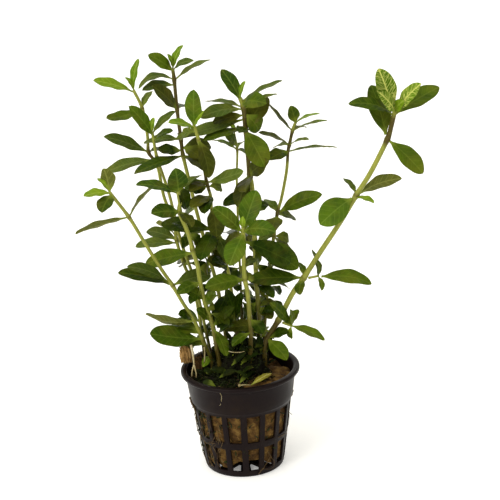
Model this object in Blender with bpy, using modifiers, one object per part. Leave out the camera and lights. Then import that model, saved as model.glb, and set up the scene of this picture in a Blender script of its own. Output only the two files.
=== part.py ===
"""Potted dwarf hygrophila: a slotted net pot with a rock wool plug, moss, eleven stems and their leaves.

Run with blender --background --python part.py. Sizes in this file are millimetres and the scene is
in metres, +Z up, with the origin at the middle of the pot's underside and the viewer at -Y.

Stems and leaves were read off the photo on the upright plane through the pot's middle, as (x, z), and
each then got a depth: seen() slides such a point along the viewer's own sight line, so a depth can be
chosen freely and the front view stays as it was read.
"""

import math
from dataclasses import dataclass, field

import bmesh
import bpy
from mathutils import Vector

MM = 0.001
WELD = 1e-6
GAP = 0.3
OBJECT_NAME = "potted_dwarf_hygrophila"

# The viewer's eye, from the middle of the pot's underside.
EYE = Vector((7.3, -605.5, 304.2))

# Pot, a 5 cm net pot: 50 inside and 55 over the lip, 48 high.
POT_HEIGHT = 48.0
LIP_RADIUS = 27.5
LIP_DEPTH = 2.0
LIP_ROUND = 0.6
KNEE_LIFT = 0.4
BAND_TOP_RADIUS = 25.5
BAND_FOOT_RADIUS = 23.6
BAND_FOOT_Z = 32.2
SLOTTED_TOP_RADIUS = 22.9
SLOTTED_TOP_Z = 31.0
BASE_RADIUS = 18.5
BASE_ROUND = 0.9
WALL = 1.05
FLOOR = 1.2
POT_STEPS = 32
RIB_COUNT = 16
RIB_TURN = math.radians(1.3)
RIB_WIDTH = 2.6
WIDE_RIB_WIDTH = 4.1
WIDE_RIB_EVERY = 4
WINDOW_ROWS = ((3.2, 14.8), (18.2, 30.6))
FLOOR_SLOTS = 8
FLOOR_BAR_WIDTH = 2.2
FLOOR_SLOT_INNER = 6.5
FLOOR_SLOT_OUTER = 15.5
CUTTER_REACH = 5.0

# Rock wool plug and what grows on it.
PLUG_FOOT_Z = 3.6
PLUG_TOP_Z = 44.6
PLUG_EDGE_Z = 42.6
PLUG_FLAT_RADIUS = 17.0
PLUG_FOOT_ROUND = 0.6
PLUG_STEPS = 24
HOLLOW_CENTRE = (16.5, 11.0, 47.0)
HOLLOW_SIZE = (6.5, 6.0, 8.0)
TUFT_LUMPS = (((-20.0, 7.2, 47.0), (2.6, 3.4, 5.5)), ((-23.6, 8.4, 51.8), (3.6, 4.2, 3.3)))
FALLEN_LEAF_ENDS = ((4.6, -18.0, 45.7), (14.4, -8.5, 47.0))
MOUND_CENTRE = (0.5, 1.0, 45.0)
MOUND_SIZE = (13.5, 10.5, 11.0)

# Stems and leaves.
ROOT_Z = 37.0
SWELLING = 1.3
TIP_THINNING = 0.6
LEAF_THICKNESS = 0.6
EDGE_WELD = 0.01
OWN_LEAF_LENGTH = 16.6
OWN_LEAF_STEPS = 4
SMALL_LEAF_STEPS = 3
PETIOLE_SHARE = 0.1
PETIOLE_WIDTH = 0.14
WIDEST_SKEW = 0.92
OUTLINE_FULLNESS = 0.7
LEAST_SINE_SQUARED = 0.25
JOINT_REACH = 0.5
FOLD = 0.2


@dataclass(frozen=True)
class Leaf:
    """One leaf: the height on its stem, its tip as seen, and its real and shown width.

    near is how far the tip comes towards the viewer from the base. shown is the width as seen, and
    it is negative where the underside is what shows. arch is how far the blade bulges at its middle.
    """

    height: float
    tip: tuple
    near: float
    width: float
    shown: float
    arch: float = 1.0


@dataclass(frozen=True)
class Stem:
    """One stem: its route as seen, from the tip down, with the heights of its swollen joints."""

    name: str
    thickness: float
    tip_depth: float
    root_depth: float
    route: tuple
    joints: tuple
    leaves: tuple = field(default=())

    @property
    def is_shoot(self):
        """Whether this is a side shoot, which grows from a stem and has no root."""
        return self.name.endswith("shoot")


STEMS = (
    Stem(
        "front_left", 1.8, -15.0, 3.0,
        ((-53.7, 134.4), (-45.9, 122.3), (-40.3, 111.1), (-33.7, 98.1), (-28.6, 89.0), (-24.3, 80.0),
         (-20.2, 72.4), (-16.5, 62.0), (-12.7, 51.4)),
        (122.3, 89.0, 62.0),
        (
            Leaf(134.2, (-54.5, 144.6), -3, 6.0, -5.0),
            Leaf(133.0, (-55.4, 124.5), 9, 7.0, 6.0),
            Leaf(133.6, (-65.3, 132.8), 4, 4.0, 1.8),
            Leaf(134.2, (-58.5, 140.8), -4, 3.0, 2.0),
            Leaf(122.3, (-71.3, 115.5), -3, 8.0, -2.8, 2.0),
            Leaf(122.3, (-32.5, 136.7), -8, 6.5, 1.7),
            Leaf(89.0, (-52.4, 94.8), 5, 8.0, 5.5, 1.5),
            Leaf(89.0, (-11.0, 93.4), -11, 8.0, 6.0),
            Leaf(62.0, (-40.0, 68.0), 8, 9.5, 8.5, 2.5),
            Leaf(66.0, (-31.0, 69.0), -11, 7.0, 4.0, 3.0),
            Leaf(71.0, (-42.2, 75.7), -14, 6.0, -2.5),
        ),
    ),
    Stem(
        "left_tall", 1.7, 21.0, 13.0,
        ((-39.6, 179.5), (-36.4, 171.2), (-35.0, 159.6), (-35.1, 151.6), (-33.6, 149.0), (-31.3, 143.9),
         (-29.6, 130.7), (-25.9, 119.0), (-25.4, 110.4), (-23.0, 99.5), (-18.9, 86.5), (-17.0, 70.0),
         (-16.0, 52.0)),
        (171.2, 151.6, 110.4),
        (
            Leaf(178.5, (-56.7, 184.5), 4, 6.5, 3.7, 1.5),
            Leaf(179.3, (-36.3, 193.1), -4, 5.5, 3.3),
            Leaf(179.3, (-42.8, 185.3), 0, 3.0, 2.0),
            Leaf(171.2, (-51.7, 168.8), 8, 6.5, 4.5, 3.0),
            Leaf(171.2, (-31.4, 178.7), -6, 4.5, 3.0),
            Leaf(151.6, (-54.3, 159.4), 8, 7.5, 5.5),
            Leaf(151.6, (-26.0, 151.5), -12, 5.0, 2.0),
            Leaf(148.0, (-56.0, 145.4), -8, 7.5, 4.3, 3.0),
            Leaf(110.4, (-38.5, 115.5), -8, 6.5, 4.0),
            Leaf(109.0, (-43.0, 108.0), 6, 7.0, 4.5),
            Leaf(112.0, (-34.0, 119.0), -14, 6.0, -2.0),
            Leaf(99.5, (-27.0, 103.0), -17, 7.5, 3.0),
        ),
    ),
    Stem(
        "left_inner", 1.5, 8.0, 9.0,
        ((-32.8, 160.7), (-31.6, 149.3), (-29.5, 141.0), (-27.0, 130.6), (-23.5, 110.0), (-18.5, 90.0),
         (-13.0, 54.0)),
        (149.3, 110.0),
        (
            Leaf(159.0, (-42.3, 172.5), 6, 7.0, 6.0),
            Leaf(159.8, (-22.1, 169.3), -5, 5.0, 3.2),
            Leaf(157.0, (-23.6, 160.7), 6, 4.5, 2.5),
            Leaf(160.4, (-31.5, 167.0), 2, 3.0, 2.5),
        ),
    ),
    Stem(
        "tallest", 1.8, 10.0, 9.0,
        ((-22.1, 188.1), (-21.7, 183.0), (-21.3, 170.2), (-20.5, 156.6), (-20.0, 149.2), (-18.0, 137.5),
         (-15.9, 125.0), (-12.0, 105.0), (-8.0, 85.0), (-5.0, 54.0)),
        (183.0, 170.2, 156.6, 149.2),
        (
            Leaf(187.0, (-32.3, 194.5), 4, 6.5, 5.4),
            Leaf(187.8, (-17.0, 198.0), -3, 5.0, 3.0),
            Leaf(187.8, (-24.0, 194.5), 1, 3.0, 2.0),
            Leaf(186.6, (-12.7, 190.9), 7, 4.5, 2.5, 2.0),
            Leaf(183.0, (-5.4, 191.1), -7, 6.0, 2.2),
            Leaf(183.0, (-37.4, 180.0), 4, 6.0, 3.0, 4.0),
            Leaf(170.2, (-31.4, 180.9), 9, 7.5, 6.0),
            Leaf(170.2, (-17.0, 171.5), -15, 7.0, 3.0),
            Leaf(156.6, (-36.9, 155.8), -7, 6.5, 3.7),
            Leaf(156.6, (-16.0, 160.0), -16, 7.0, 3.0),
            Leaf(149.2, (-42.1, 141.8), 12, 7.5, 4.8),
            Leaf(149.2, (-11.5, 138.7), 6, 7.0, 5.5),
            Leaf(125.0, (-21.0, 121.0), -15, 7.5, 4.0),
            Leaf(105.0, (-6.0, 107.0), -14, 7.0, 3.0),
            Leaf(85.0, (-14.0, 86.0), -12, 7.0, 4.0),
            Leaf(72.0, (-12.0, 77.0), -10, 6.0, 3.0),
        ),
    ),
    Stem(
        "left_rosette", 2.1, -14.0, -4.0,
        ((-23.4, 134.3), (-22.7, 127.4), (-23.2, 123.5), (-19.6, 112.0), (-18.5, 105.5), (-16.7, 97.8),
         (-15.8, 88.3), (-14.1, 78.6), (-11.4, 67.9), (-9.5, 50.0)),
        (123.5, 105.5),
        (
            Leaf(132.0, (-41.7, 137.0), 6, 7.0, 4.2, 1.5),
            Leaf(132.6, (-23.8, 143.7), 7, 8.0, 7.8),
            Leaf(133.9, (-23.4, 141.0), 0, 3.0, 2.8),
            Leaf(132.6, (-12.0, 140.0), -8, 6.0, 2.5),
            Leaf(123.5, (-35.5, 124.0), 8, 7.0, 5.8),
            Leaf(123.5, (-18.0, 116.0), 12, 6.0, 4.5),
            Leaf(104.0, (-40.0, 100.0), -13, 7.0, 5.0),
            Leaf(80.0, (-9.5, 85.0), 5, 4.0, 3.0),
            Leaf(68.0, (-1.0, 77.0), 4, 5.0, 3.0),
            Leaf(62.0, (-5.5, 53.0), 3, 4.0, 3.0),
        ),
    ),
    Stem(
        "centre_left", 1.6, -4.0, 0.0,
        ((-14.5, 163.0), (-12.8, 156.0), (-11.6, 148.2), (-11.1, 143.6), (-10.3, 136.3), (-8.9, 129.7),
         (-8.9, 124.3), (-8.0, 114.0), (-5.4, 110.0), (-3.8, 98.0), (-2.5, 90.0), (0.0, 56.0)),
        (156.0, 136.3, 114.0),
        (
            Leaf(162.0, (-13.4, 178.5), 5, 7.5, 7.3),
            Leaf(161.0, (-25.5, 164.5), 6, 5.5, 3.0),
            Leaf(162.0, (-9.5, 168.5), 5, 4.0, 2.5),
            Leaf(156.0, (-8.0, 138.5), 6, 7.5, 5.5),
            Leaf(136.3, (6.0, 140.4), 5, 7.0, 5.5, 1.5),
            Leaf(136.3, (-17.9, 132.5), 10, 6.0, 4.0),
            Leaf(130.0, (-18.0, 125.0), 11, 7.0, 5.0),
            Leaf(130.0, (-12.0, 122.0), 13, 7.0, 5.5),
            Leaf(124.3, (-7.3, 110.5), 10, 7.0, 5.6),
            Leaf(114.0, (-31.7, 120.0), 0, 8.0, 6.0, 2.0),
            Leaf(114.0, (-12.9, 101.0), 14, 9.0, 8.0),
            Leaf(110.0, (-14.0, 106.0), 8, 5.0, 3.0),
            Leaf(98.0, (-10.0, 99.0), 9, 6.0, 4.0),
            Leaf(90.0, (-9.0, 87.0), -6, 7.0, 5.0),
            Leaf(72.0, (-5.0, 86.0), 6, 6.0, 5.0),
            Leaf(70.0, (3.0, 84.0), 4, 6.0, 4.0),
        ),
    ),
    Stem(
        "back", 1.2, 20.0, 17.0,
        ((3.0, 158.0), (3.9, 150.6), (3.2, 140.0), (2.8, 129.1), (2.5, 110.0), (2.0, 60.0)),
        (150.6, 129.1),
        (
            Leaf(157.6, (1.0, 163.0), 0, 3.0, 2.0),
            Leaf(150.6, (-6.8, 155.4), -4, 4.5, 1.8),
            Leaf(152.0, (-1.5, 159.0), 6, 5.0, 4.0),
            Leaf(150.6, (7.4, 154.0), -6, 4.0, 1.5),
            Leaf(150.6, (7.9, 147.5), -9, 4.0, 1.5),
            Leaf(110.0, (-3.0, 113.0), -14, 7.0, 4.0),
            Leaf(110.0, (9.0, 108.0), -12, 7.0, 4.0),
            Leaf(90.0, (-4.0, 94.0), -10, 7.0, 4.0),
            Leaf(85.0, (7.0, 80.0), -9, 6.0, 4.0),
            Leaf(72.0, (-5.0, 78.0), -8, 6.0, 4.0),
        ),
    ),
    Stem(
        "front_rosette", 2.2, -16.0, -5.0,
        ((4.8, 115.0), (4.2, 95.3), (4.3, 90.3), (5.2, 83.3), (5.6, 73.0), (5.8, 63.7), (5.0, 54.0)),
        (90.3,),
        (
            Leaf(113.0, (11.5, 131.8), -5, 9.5, 9.3),
            Leaf(112.0, (-8.1, 125.0), 6, 7.5, 7.0),
            Leaf(112.5, (18.1, 111.6), 9, 7.0, 5.0, 2.0),
            Leaf(111.5, (-0.9, 97.6), 12, 9.0, 8.5),
            Leaf(112.0, (-4.0, 106.0), -11, 6.5, 4.0),
            Leaf(114.6, (5.0, 120.0), 3, 3.0, 2.8),
            Leaf(90.3, (-13.9, 87.0), 6, 7.5, 6.5),
        ),
    ),
    Stem(
        "centre", 2.2, 4.0, 5.0,
        ((6.3, 173.6), (7.5, 169.5), (8.0, 159.8), (8.5, 146.7), (8.8, 139.0), (9.7, 131.8), (9.6, 108.0),
         (9.5, 88.0), (10.0, 70.0), (9.0, 54.0)),
        (169.5, 159.8, 139.0, 108.0, 88.0),
        (
            Leaf(172.0, (-1.2, 186.6), -5, 7.0, 6.0),
            Leaf(173.2, (9.0, 181.0), 5, 3.0, 2.0),
            Leaf(172.0, (25.1, 180.3), -6, 6.5, 2.0, 2.0),
            Leaf(171.0, (17.8, 170.6), 11, 7.5, 5.5, 2.0),
            Leaf(159.8, (16.5, 173.6), -8, 7.5, 6.5),
            Leaf(168.5, (22.6, 174.5), 3, 5.5, 1.5),
            Leaf(168.5, (-11.5, 165.9), 6, 7.5, 5.5, 2.0),
            Leaf(169.5, (-9.2, 172.8), -9, 6.5, 2.0),
            Leaf(159.8, (-11.0, 155.3), 6, 6.5, 4.0),
            Leaf(159.8, (5.0, 158.0), 13, 5.5, 4.5),
            Leaf(158.8, (15.3, 142.2), 8, 8.0, 7.8),
            Leaf(139.0, (15.0, 143.0), 12, 6.5, 5.0),
            Leaf(138.0, (13.0, 131.0), 14, 7.5, 6.0),
            Leaf(139.0, (3.0, 124.0), 6, 7.0, 6.0),
            Leaf(108.0, (28.7, 94.0), 8, 9.0, 8.8),
            Leaf(108.0, (4.0, 116.0), -13, 8.0, 4.0),
            Leaf(88.0, (17.0, 80.5), 12, 6.0, 4.5),
            Leaf(88.0, (24.6, 84.2), -4, 5.0, 1.0, 2.0),
            Leaf(74.0, (3.0, 82.0), -8, 6.0, 4.0),
            Leaf(74.0, (17.0, 74.0), 7, 6.0, 4.0),
        ),
    ),
    Stem(
        "right_inner", 1.6, 14.0, 9.0,
        ((30.1, 161.8), (28.5, 157.8), (26.9, 151.5), (26.2, 148.7), (25.2, 139.8), (22.6, 128.0),
         (20.4, 120.8), (18.3, 110.0), (13.7, 79.5), (11.0, 54.0)),
        (157.8, 151.5, 120.8, 110.0),
        (
            Leaf(161.4, (28.2, 169.1), 2, 5.5, 5.4),
            Leaf(161.4, (41.2, 164.8), -5, 4.0, 1.3),
            Leaf(157.8, (18.7, 170.2), 5, 4.5, 1.7),
            Leaf(157.8, (44.0, 161.6), 6, 4.0, 1.0),
            Leaf(157.8, (34.5, 159.0), -9, 4.0, 1.5),
            Leaf(151.5, (13.5, 157.8), 6, 5.0, 2.0),
            Leaf(151.5, (20.0, 150.5), -10, 4.5, 1.5),
            Leaf(151.5, (35.6, 153.5), 9, 4.0, 1.2),
            Leaf(148.7, (17.7, 144.4), 8, 6.0, 4.5),
            Leaf(148.7, (47.8, 149.3), -5, 5.0, 1.2),
            Leaf(120.8, (40.7, 128.2), 6, 8.0, 7.0),
            Leaf(120.8, (14.7, 127.2), -9, 5.0, 2.0),
            Leaf(120.0, (28.5, 117.0), -9, 5.0, 2.2),
            Leaf(119.0, (21.3, 109.8), 12, 8.5, 7.8),
            Leaf(110.0, (28.6, 99.4), -8, 6.5, 5.0),
            Leaf(94.0, (21.0, 99.0), -13, 7.0, 3.0),
        ),
    ),
    Stem(
        "right_leaning", 2.4, -6.0, -1.0,
        ((73.5, 164.4), (72.4, 156.7), (70.0, 151.9), (62.5, 137.5), (55.7, 127.0), (47.8, 114.3),
         (38.4, 100.6), (31.0, 89.4), (25.6, 82.1), (18.7, 69.5), (12.8, 60.4), (11.5, 54.0)),
        (151.9, 127.0, 89.4, 69.5),
        (
            Leaf(163.6, (66.6, 183.5), 4, 8.0, 7.5),
            Leaf(163.2, (85.0, 175.8), 10, 7.0, 5.0),
            Leaf(162.6, (93.0, 174.1), -5, 7.5, 6.0),
            Leaf(162.4, (53.3, 168.1), 5, 7.0, 5.0, 2.0),
            Leaf(164.0, (66.9, 172.9), 9, 5.0, 3.5),
            Leaf(151.9, (63.3, 176.4), -8, 11.0, 10.8),
            Leaf(151.9, (85.6, 135.5), 7, 9.0, 8.5),
            Leaf(127.0, (38.3, 114.4), 8, 12.0, 11.8),
            Leaf(127.0, (76.2, 133.8), -5, 7.5, -5.8),
            Leaf(127.0, (50.0, 135.2), -6, 4.5, 2.4),
            Leaf(126.0, (63.6, 123.0), 6, 4.5, 2.2),
            Leaf(89.4, (5.8, 89.5), 2, 8.0, 5.5),
            Leaf(89.4, (28.6, 97.0), -5, 3.5, 2.0),
            Leaf(88.4, (29.0, 81.3), 8, 4.5, 3.8),
            Leaf(64.0, (-6.5, 66.0), 2, 5.0, 3.5, 3.5),
        ),
    ),
    Stem(
        "upper_side_shoot", 1.2, -3.0, -3.0,
        ((38.0, 90.0), (33.0, 89.2)),
        (),
        (
            Leaf(89.9, (61.7, 84.8), 3, 7.0, 5.3, 2.5),
            Leaf(89.9, (37.2, 97.5), 8, 3.5, 2.5),
            Leaf(89.9, (35.0, 103.0), -6, 3.5, 2.0),
            Leaf(89.9, (38.9, 82.7), 4, 3.5, 2.6),
        ),
    ),
    Stem(
        "lower_side_shoot", 1.2, -5.0, -2.0,
        ((24.7, 66.3), (20.6, 68.2)),
        (),
        (
            Leaf(66.4, (39.5, 59.3), 4, 6.0, 4.2),
            Leaf(66.4, (28.0, 74.3), -3, 4.0, 2.8),
            Leaf(66.4, (15.2, 78.2), 8, 5.0, 3.4),
            Leaf(66.4, (24.0, 74.5), 4, 3.5, 2.0),
            Leaf(66.4, (24.0, 60.2), -5, 3.5, 3.0),
            Leaf(66.4, (22.0, 49.7), 12, 6.0, 5.0),
        ),
    ),
)


def seen(x, z, depth):
    """The point, in millimetres, that shows at (x, z) on the middle plane and lies depth behind it."""
    on_plane = Vector((x, 0.0, z))
    return on_plane + (on_plane - EYE) * (depth / -EYE.y)


def new_object(name, mesh, collection):
    obj = bpy.data.objects.new(name, mesh)
    collection.objects.link(obj)
    return obj


def object_from_bmesh(name, shape, collection):
    """A new object from a bmesh in millimetres, scaled to metres."""
    bmesh.ops.scale(shape, vec=Vector((MM, MM, MM)), verts=shape.verts)
    mesh = bpy.data.meshes.new(name)
    shape.to_mesh(mesh)
    shape.free()
    return new_object(name, mesh, collection)


def shade_smooth(obj):
    for polygon in obj.data.polygons:
        polygon.use_smooth = True


def finish(name, red, green, blue, roughness):
    material = bpy.data.materials.new(name)
    material.use_nodes = True
    shader = material.node_tree.nodes["Principled BSDF"]
    shader.inputs["Base Color"].default_value = (red, green, blue, 1.0)
    shader.inputs["Roughness"].default_value = roughness
    shader.inputs["Metallic"].default_value = 0.0
    return material


def turned(name, profile, steps, collection):
    """A solid of revolution from (radius, z) points that start and end on the axis."""
    mesh = bpy.data.meshes.new(name)
    points = [(radius * MM, 0.0, z * MM) for radius, z in profile]
    edges = [(i, i + 1) for i in range(len(points) - 1)]
    mesh.from_pydata(points, edges, [])
    obj = new_object(name, mesh, collection)
    screw = obj.modifiers.new("Turn", "SCREW")
    screw.axis = "Z"
    screw.steps = steps
    screw.render_steps = steps
    screw.use_merge_vertices = True
    screw.merge_threshold = WELD
    screw.use_smooth_shade = True
    return obj


def boolean(obj, operation, operand):
    """Adds a Boolean with an object, or with every object of a collection."""
    modifier = obj.modifiers.new(operation.title(), "BOOLEAN")
    modifier.operation = operation
    modifier.solver = "EXACT"
    if isinstance(operand, bpy.types.Collection):
        modifier.operand_type = "COLLECTION"
        modifier.collection = operand
    else:
        modifier.object = operand


def helper_collection(name):
    """A collection for cutters and joined lumps, kept out of renders."""
    collection = bpy.data.collections.new(name)
    bpy.context.scene.collection.children.link(collection)
    collection.hide_render = True
    return collection


def hide_helper(obj):
    obj.hide_render = True
    obj.display_type = "WIRE"


def inner_radius(z):
    """The pot's inner radius at a height."""
    if z >= BAND_FOOT_Z:
        share = (z - BAND_FOOT_Z) / (POT_HEIGHT - LIP_DEPTH - BAND_FOOT_Z)
        return BAND_FOOT_RADIUS + share * (BAND_TOP_RADIUS - BAND_FOOT_RADIUS) - WALL
    share = z / SLOTTED_TOP_Z
    return BASE_RADIUS + share * (SLOTTED_TOP_RADIUS - BASE_RADIUS) - WALL


def polar_block(name, starts, ends, radii, heights, collection):
    """A block between two radii and two heights, whose sides stand off two spokes of a wheel.

    Args:
        starts: the first spoke's angle and its half width.
        ends: the second spoke's angle and its half width.
    """
    block = bmesh.new()
    bmesh.ops.create_cube(block, size=2.0)
    for vert in block.verts:
        radius = radii[0] if vert.co.y < 0 else radii[1]
        z = heights[0] if vert.co.z < 0 else heights[1]
        wall_radius = inner_radius(z) if heights[0] > FLOOR else radius
        if vert.co.x < 0:
            angle = ends[0] - ends[1] / wall_radius
        else:
            angle = starts[0] + starts[1] / wall_radius
        vert.co = (radius * math.cos(angle), radius * math.sin(angle), z)
    cutter = object_from_bmesh(name, block, collection)
    hide_helper(cutter)


def spokes(count, width_of):
    """Neighbouring pairs of (angle, half width) round the pot, the first one facing the viewer."""
    angles = [(RIB_TURN - math.pi / 2 + i * math.tau / count, width_of(i) / 2) for i in range(count + 1)]
    return zip(angles, angles[1:])


def build_pot(collection, cutters):
    lip_z = POT_HEIGHT - LIP_DEPTH
    profile = (
        (0.0, FLOOR),
        (inner_radius(FLOOR), FLOOR),
        (inner_radius(SLOTTED_TOP_Z), SLOTTED_TOP_Z + KNEE_LIFT),
        (inner_radius(BAND_FOOT_Z), BAND_FOOT_Z + KNEE_LIFT),
        (inner_radius(lip_z), lip_z),
        (inner_radius(lip_z) + LIP_ROUND, POT_HEIGHT),
        (LIP_RADIUS - LIP_ROUND, POT_HEIGHT),
        (LIP_RADIUS, POT_HEIGHT - LIP_ROUND),
        (LIP_RADIUS, lip_z + LIP_ROUND / 2),
        (LIP_RADIUS - LIP_ROUND / 2, lip_z),
        (BAND_TOP_RADIUS, lip_z),
        (BAND_FOOT_RADIUS, BAND_FOOT_Z),
        (SLOTTED_TOP_RADIUS, SLOTTED_TOP_Z),
        (BASE_RADIUS, BASE_ROUND),
        (BASE_RADIUS - BASE_ROUND, 0.0),
        (0.0, 0.0),
    )
    pot = turned("net_pot", profile, POT_STEPS, collection)

    def rib_width(i):
        return WIDE_RIB_WIDTH if i % WIDE_RIB_EVERY == 0 else RIB_WIDTH

    for row, heights in enumerate(WINDOW_ROWS):
        radii = (BASE_RADIUS - CUTTER_REACH, SLOTTED_TOP_RADIUS + CUTTER_REACH)
        for i, (start, end) in enumerate(spokes(RIB_COUNT, rib_width)):
            polar_block(f"window_{row}_{i}", start, end, radii, heights, cutters)
    radii = (FLOOR_SLOT_INNER, FLOOR_SLOT_OUTER)
    heights = (-FLOOR, 2 * FLOOR)
    for i, (start, end) in enumerate(spokes(FLOOR_SLOTS, lambda _: FLOOR_BAR_WIDTH)):
        polar_block(f"floor_slot_{i}", start, end, radii, heights, cutters)
    boolean(pot, "DIFFERENCE", cutters)
    pot.data.materials.append(finish("black_plastic", 0.022, 0.017, 0.019, 0.35))
    return pot


def lump(name, centre, size, subdivisions, collection, floor=None):
    """A ball stretched to three radii, cut flat at a floor height where one is given."""
    ball = bmesh.new()
    bmesh.ops.create_icosphere(ball, subdivisions=subdivisions, radius=1.0)
    for vert in ball.verts:
        vert.co = Vector(centre) + Vector(a * b for a, b in zip(vert.co, size))
        if floor is not None:
            vert.co.z = max(vert.co.z, floor)
    return object_from_bmesh(name, ball, collection)


def build_plug(collection, pockets):
    """The rock wool, with its tuft joined on and its hollow and the stems' pockets cut out."""
    profile = (
        (0.0, PLUG_TOP_Z),
        (PLUG_FLAT_RADIUS, PLUG_TOP_Z - GAP),
        (inner_radius(PLUG_EDGE_Z) - GAP, PLUG_EDGE_Z),
        (inner_radius(BAND_FOOT_Z) - GAP, BAND_FOOT_Z + 2 * KNEE_LIFT),
        (inner_radius(SLOTTED_TOP_Z) - GAP, SLOTTED_TOP_Z + 1.5 * KNEE_LIFT),
        (inner_radius(PLUG_FOOT_Z) - GAP, PLUG_FOOT_Z + PLUG_FOOT_ROUND),
        (inner_radius(PLUG_FOOT_Z) - GAP - PLUG_FOOT_ROUND, PLUG_FOOT_Z),
        (0.0, PLUG_FOOT_Z),
    )
    plug = turned("rock_wool", profile, PLUG_STEPS, collection)
    tuft = helper_collection("rock_wool_tuft")
    for i, (centre, size) in enumerate(TUFT_LUMPS):
        hide_helper(lump(f"tuft_{i}", centre, size, 2, tuft))
    boolean(plug, "UNION", tuft)
    hollow = helper_collection("rock_wool_hollow")
    cutter = lump("hollow", HOLLOW_CENTRE, HOLLOW_SIZE, 2, hollow)
    hide_helper(cutter)
    boolean(plug, "DIFFERENCE", cutter)
    boolean(plug, "DIFFERENCE", pockets)
    plug.data.materials.append(finish("brown_rock_wool", 0.19, 0.105, 0.035, 0.95))


def build_mound(collection, pockets):
    mound = lump("moss_mound", MOUND_CENTRE, MOUND_SIZE, 3, collection, PLUG_TOP_Z + GAP)
    boolean(mound, "DIFFERENCE", pockets)
    mound.data.materials.append(finish("dark_moss", 0.028, 0.045, 0.012, 0.9))


def stem_depth(stem, z):
    top = stem.route[0][1]
    foot = stem.route[-1][1]
    share = (top - z) / (top - foot)
    return stem.tip_depth + share * (stem.root_depth - stem.tip_depth)


def stem_point(stem, height):
    """The point on a stem's middle line that shows at a height, and the stem's direction there."""
    for upper, lower in zip(stem.route, stem.route[1:]):
        if height >= lower[1]:
            break
    share = (upper[1] - height) / (upper[1] - lower[1])
    x = upper[0] + share * (lower[0] - upper[0])
    ahead = seen(*upper, stem_depth(stem, upper[1])) - seen(*lower, stem_depth(stem, lower[1]))
    return seen(x, height, stem_depth(stem, height)), ahead.normalized()


def stem_radius(stem, height):
    top = stem.route[0][1]
    foot = stem.route[-1][1]
    share = (height - foot) / (top - foot)
    swelling = SWELLING if any(abs(height - joint) < JOINT_REACH for joint in stem.joints) else 1.0
    return stem.thickness / 2 * (1 + share * (TIP_THINNING - 1)) * swelling


def tube(name, points, radii, collection):
    """A closed tube through points, in millimetres, made as a curve and turned into a mesh."""
    curve = bpy.data.curves.new(name, "CURVE")
    curve.dimensions = "3D"
    curve.bevel_depth = MM
    curve.bevel_resolution = 1
    curve.use_fill_caps = True
    spline = curve.splines.new("POLY")
    spline.points.add(len(points) - 1)
    for target, point, radius in zip(spline.points, points, radii):
        target.co = (*(point * MM), 1.0)
        target.radius = radius
    guide = new_object(name + "_guide", curve, collection)
    graph = bpy.context.evaluated_depsgraph_get()
    mesh = bpy.data.meshes.new_from_object(guide.evaluated_get(graph))
    shape = bmesh.new()
    shape.from_mesh(mesh)
    bmesh.ops.remove_doubles(shape, verts=shape.verts, dist=WELD)
    bmesh.ops.recalc_face_normals(shape, faces=shape.faces)
    shape.to_mesh(mesh)
    shape.free()
    obj = new_object(name, mesh, collection)
    obj.matrix_world = guide.matrix_world
    bpy.data.objects.remove(guide)
    shade_smooth(obj)
    return obj


def stem_tube(name, stem, extra, collection):
    """A stem, or with extra thickness the pocket that it needs."""
    points = [seen(x, z, stem_depth(stem, z)) for x, z in stem.route]
    radii = [stem_radius(stem, z) + extra for _, z in stem.route]
    if not stem.is_shoot:
        points.append(Vector((points[-1].x, points[-1].y, ROOT_Z - extra)))
        radii.append(radii[-1])
    return tube(name, points, radii, collection)


def width_share(along):
    """A leaf's width along it: a narrow stalk, a full middle and a tapered tip."""
    if along < PETIOLE_SHARE:
        return PETIOLE_WIDTH
    blade = (along - PETIOLE_SHARE) / (1.0 - PETIOLE_SHARE)
    outline = max(0.0, math.sin(math.pi * blade**WIDEST_SKEW)) ** OUTLINE_FULLNESS
    return max(PETIOLE_WIDTH * (1.0 - blade), outline)


def leaf_start(stem, leaf, clearance):
    """Where a leaf's stalk starts, clear of its stem or, with less than none, inside it."""
    joint, up = stem_point(stem, leaf.height)
    tip = seen(*leaf.tip, stem_depth(stem, leaf.height) - leaf.near)
    along = (tip - joint).normalized()
    slant = abs(along.dot(up))
    reach = stem_radius(stem, leaf.height) + clearance + PETIOLE_WIDTH / 2 * leaf.width * slant
    return joint + along * (reach / math.sqrt(max(LEAST_SINE_SQUARED, 1.0 - slant * slant))), tip


def leaf_blade(name, leaf, base, tip, steps, collection):
    """A leaf of two bent grids that meet all round its edge, with its thickness in the middle.

    Args:
        steps: how many steps the blade has from base to tip.
    """
    along = (tip - base).normalized()
    to_eye = (EYE - base).normalized()
    toward = (to_eye - to_eye.dot(along) * along).normalized()
    upward = along.cross(toward)
    if upward.z < 0:
        upward.negate()
    turn = math.asin(leaf.shown / leaf.width)
    normal = upward * math.cos(turn) + toward * math.sin(turn)
    side = along.cross(normal)
    blade = bmesh.new()
    bmesh.ops.create_grid(blade, x_segments=2, y_segments=steps, size=1.0)
    inner = {vert for vert in blade.verts if not vert.is_boundary}
    copy = bmesh.ops.duplicate(blade, geom=blade.verts[:] + blade.edges[:] + blade.faces[:])
    under = set(copy["geom"])
    inner_under = {copy["vert_map"][vert] for vert in inner}
    for vert in blade.verts:
        across = vert.co.x
        share = (vert.co.y + 1) / 2
        half = leaf.width / 2 * width_share(share)
        lift = 4 * leaf.arch * share * (1 - share) + FOLD * abs(across) * half
        if vert in inner:
            lift += LEAF_THICKNESS / 2
        elif vert in inner_under:
            lift -= LEAF_THICKNESS / 2
        vert.co = base.lerp(tip, share) + side * across * half + normal * lift
    bmesh.ops.reverse_faces(blade, faces=[face for face in blade.faces if face in under])
    bmesh.ops.remove_doubles(blade, verts=blade.verts, dist=EDGE_WELD)
    obj = object_from_bmesh(name, blade, collection)
    shade_smooth(obj)
    return obj


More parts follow.
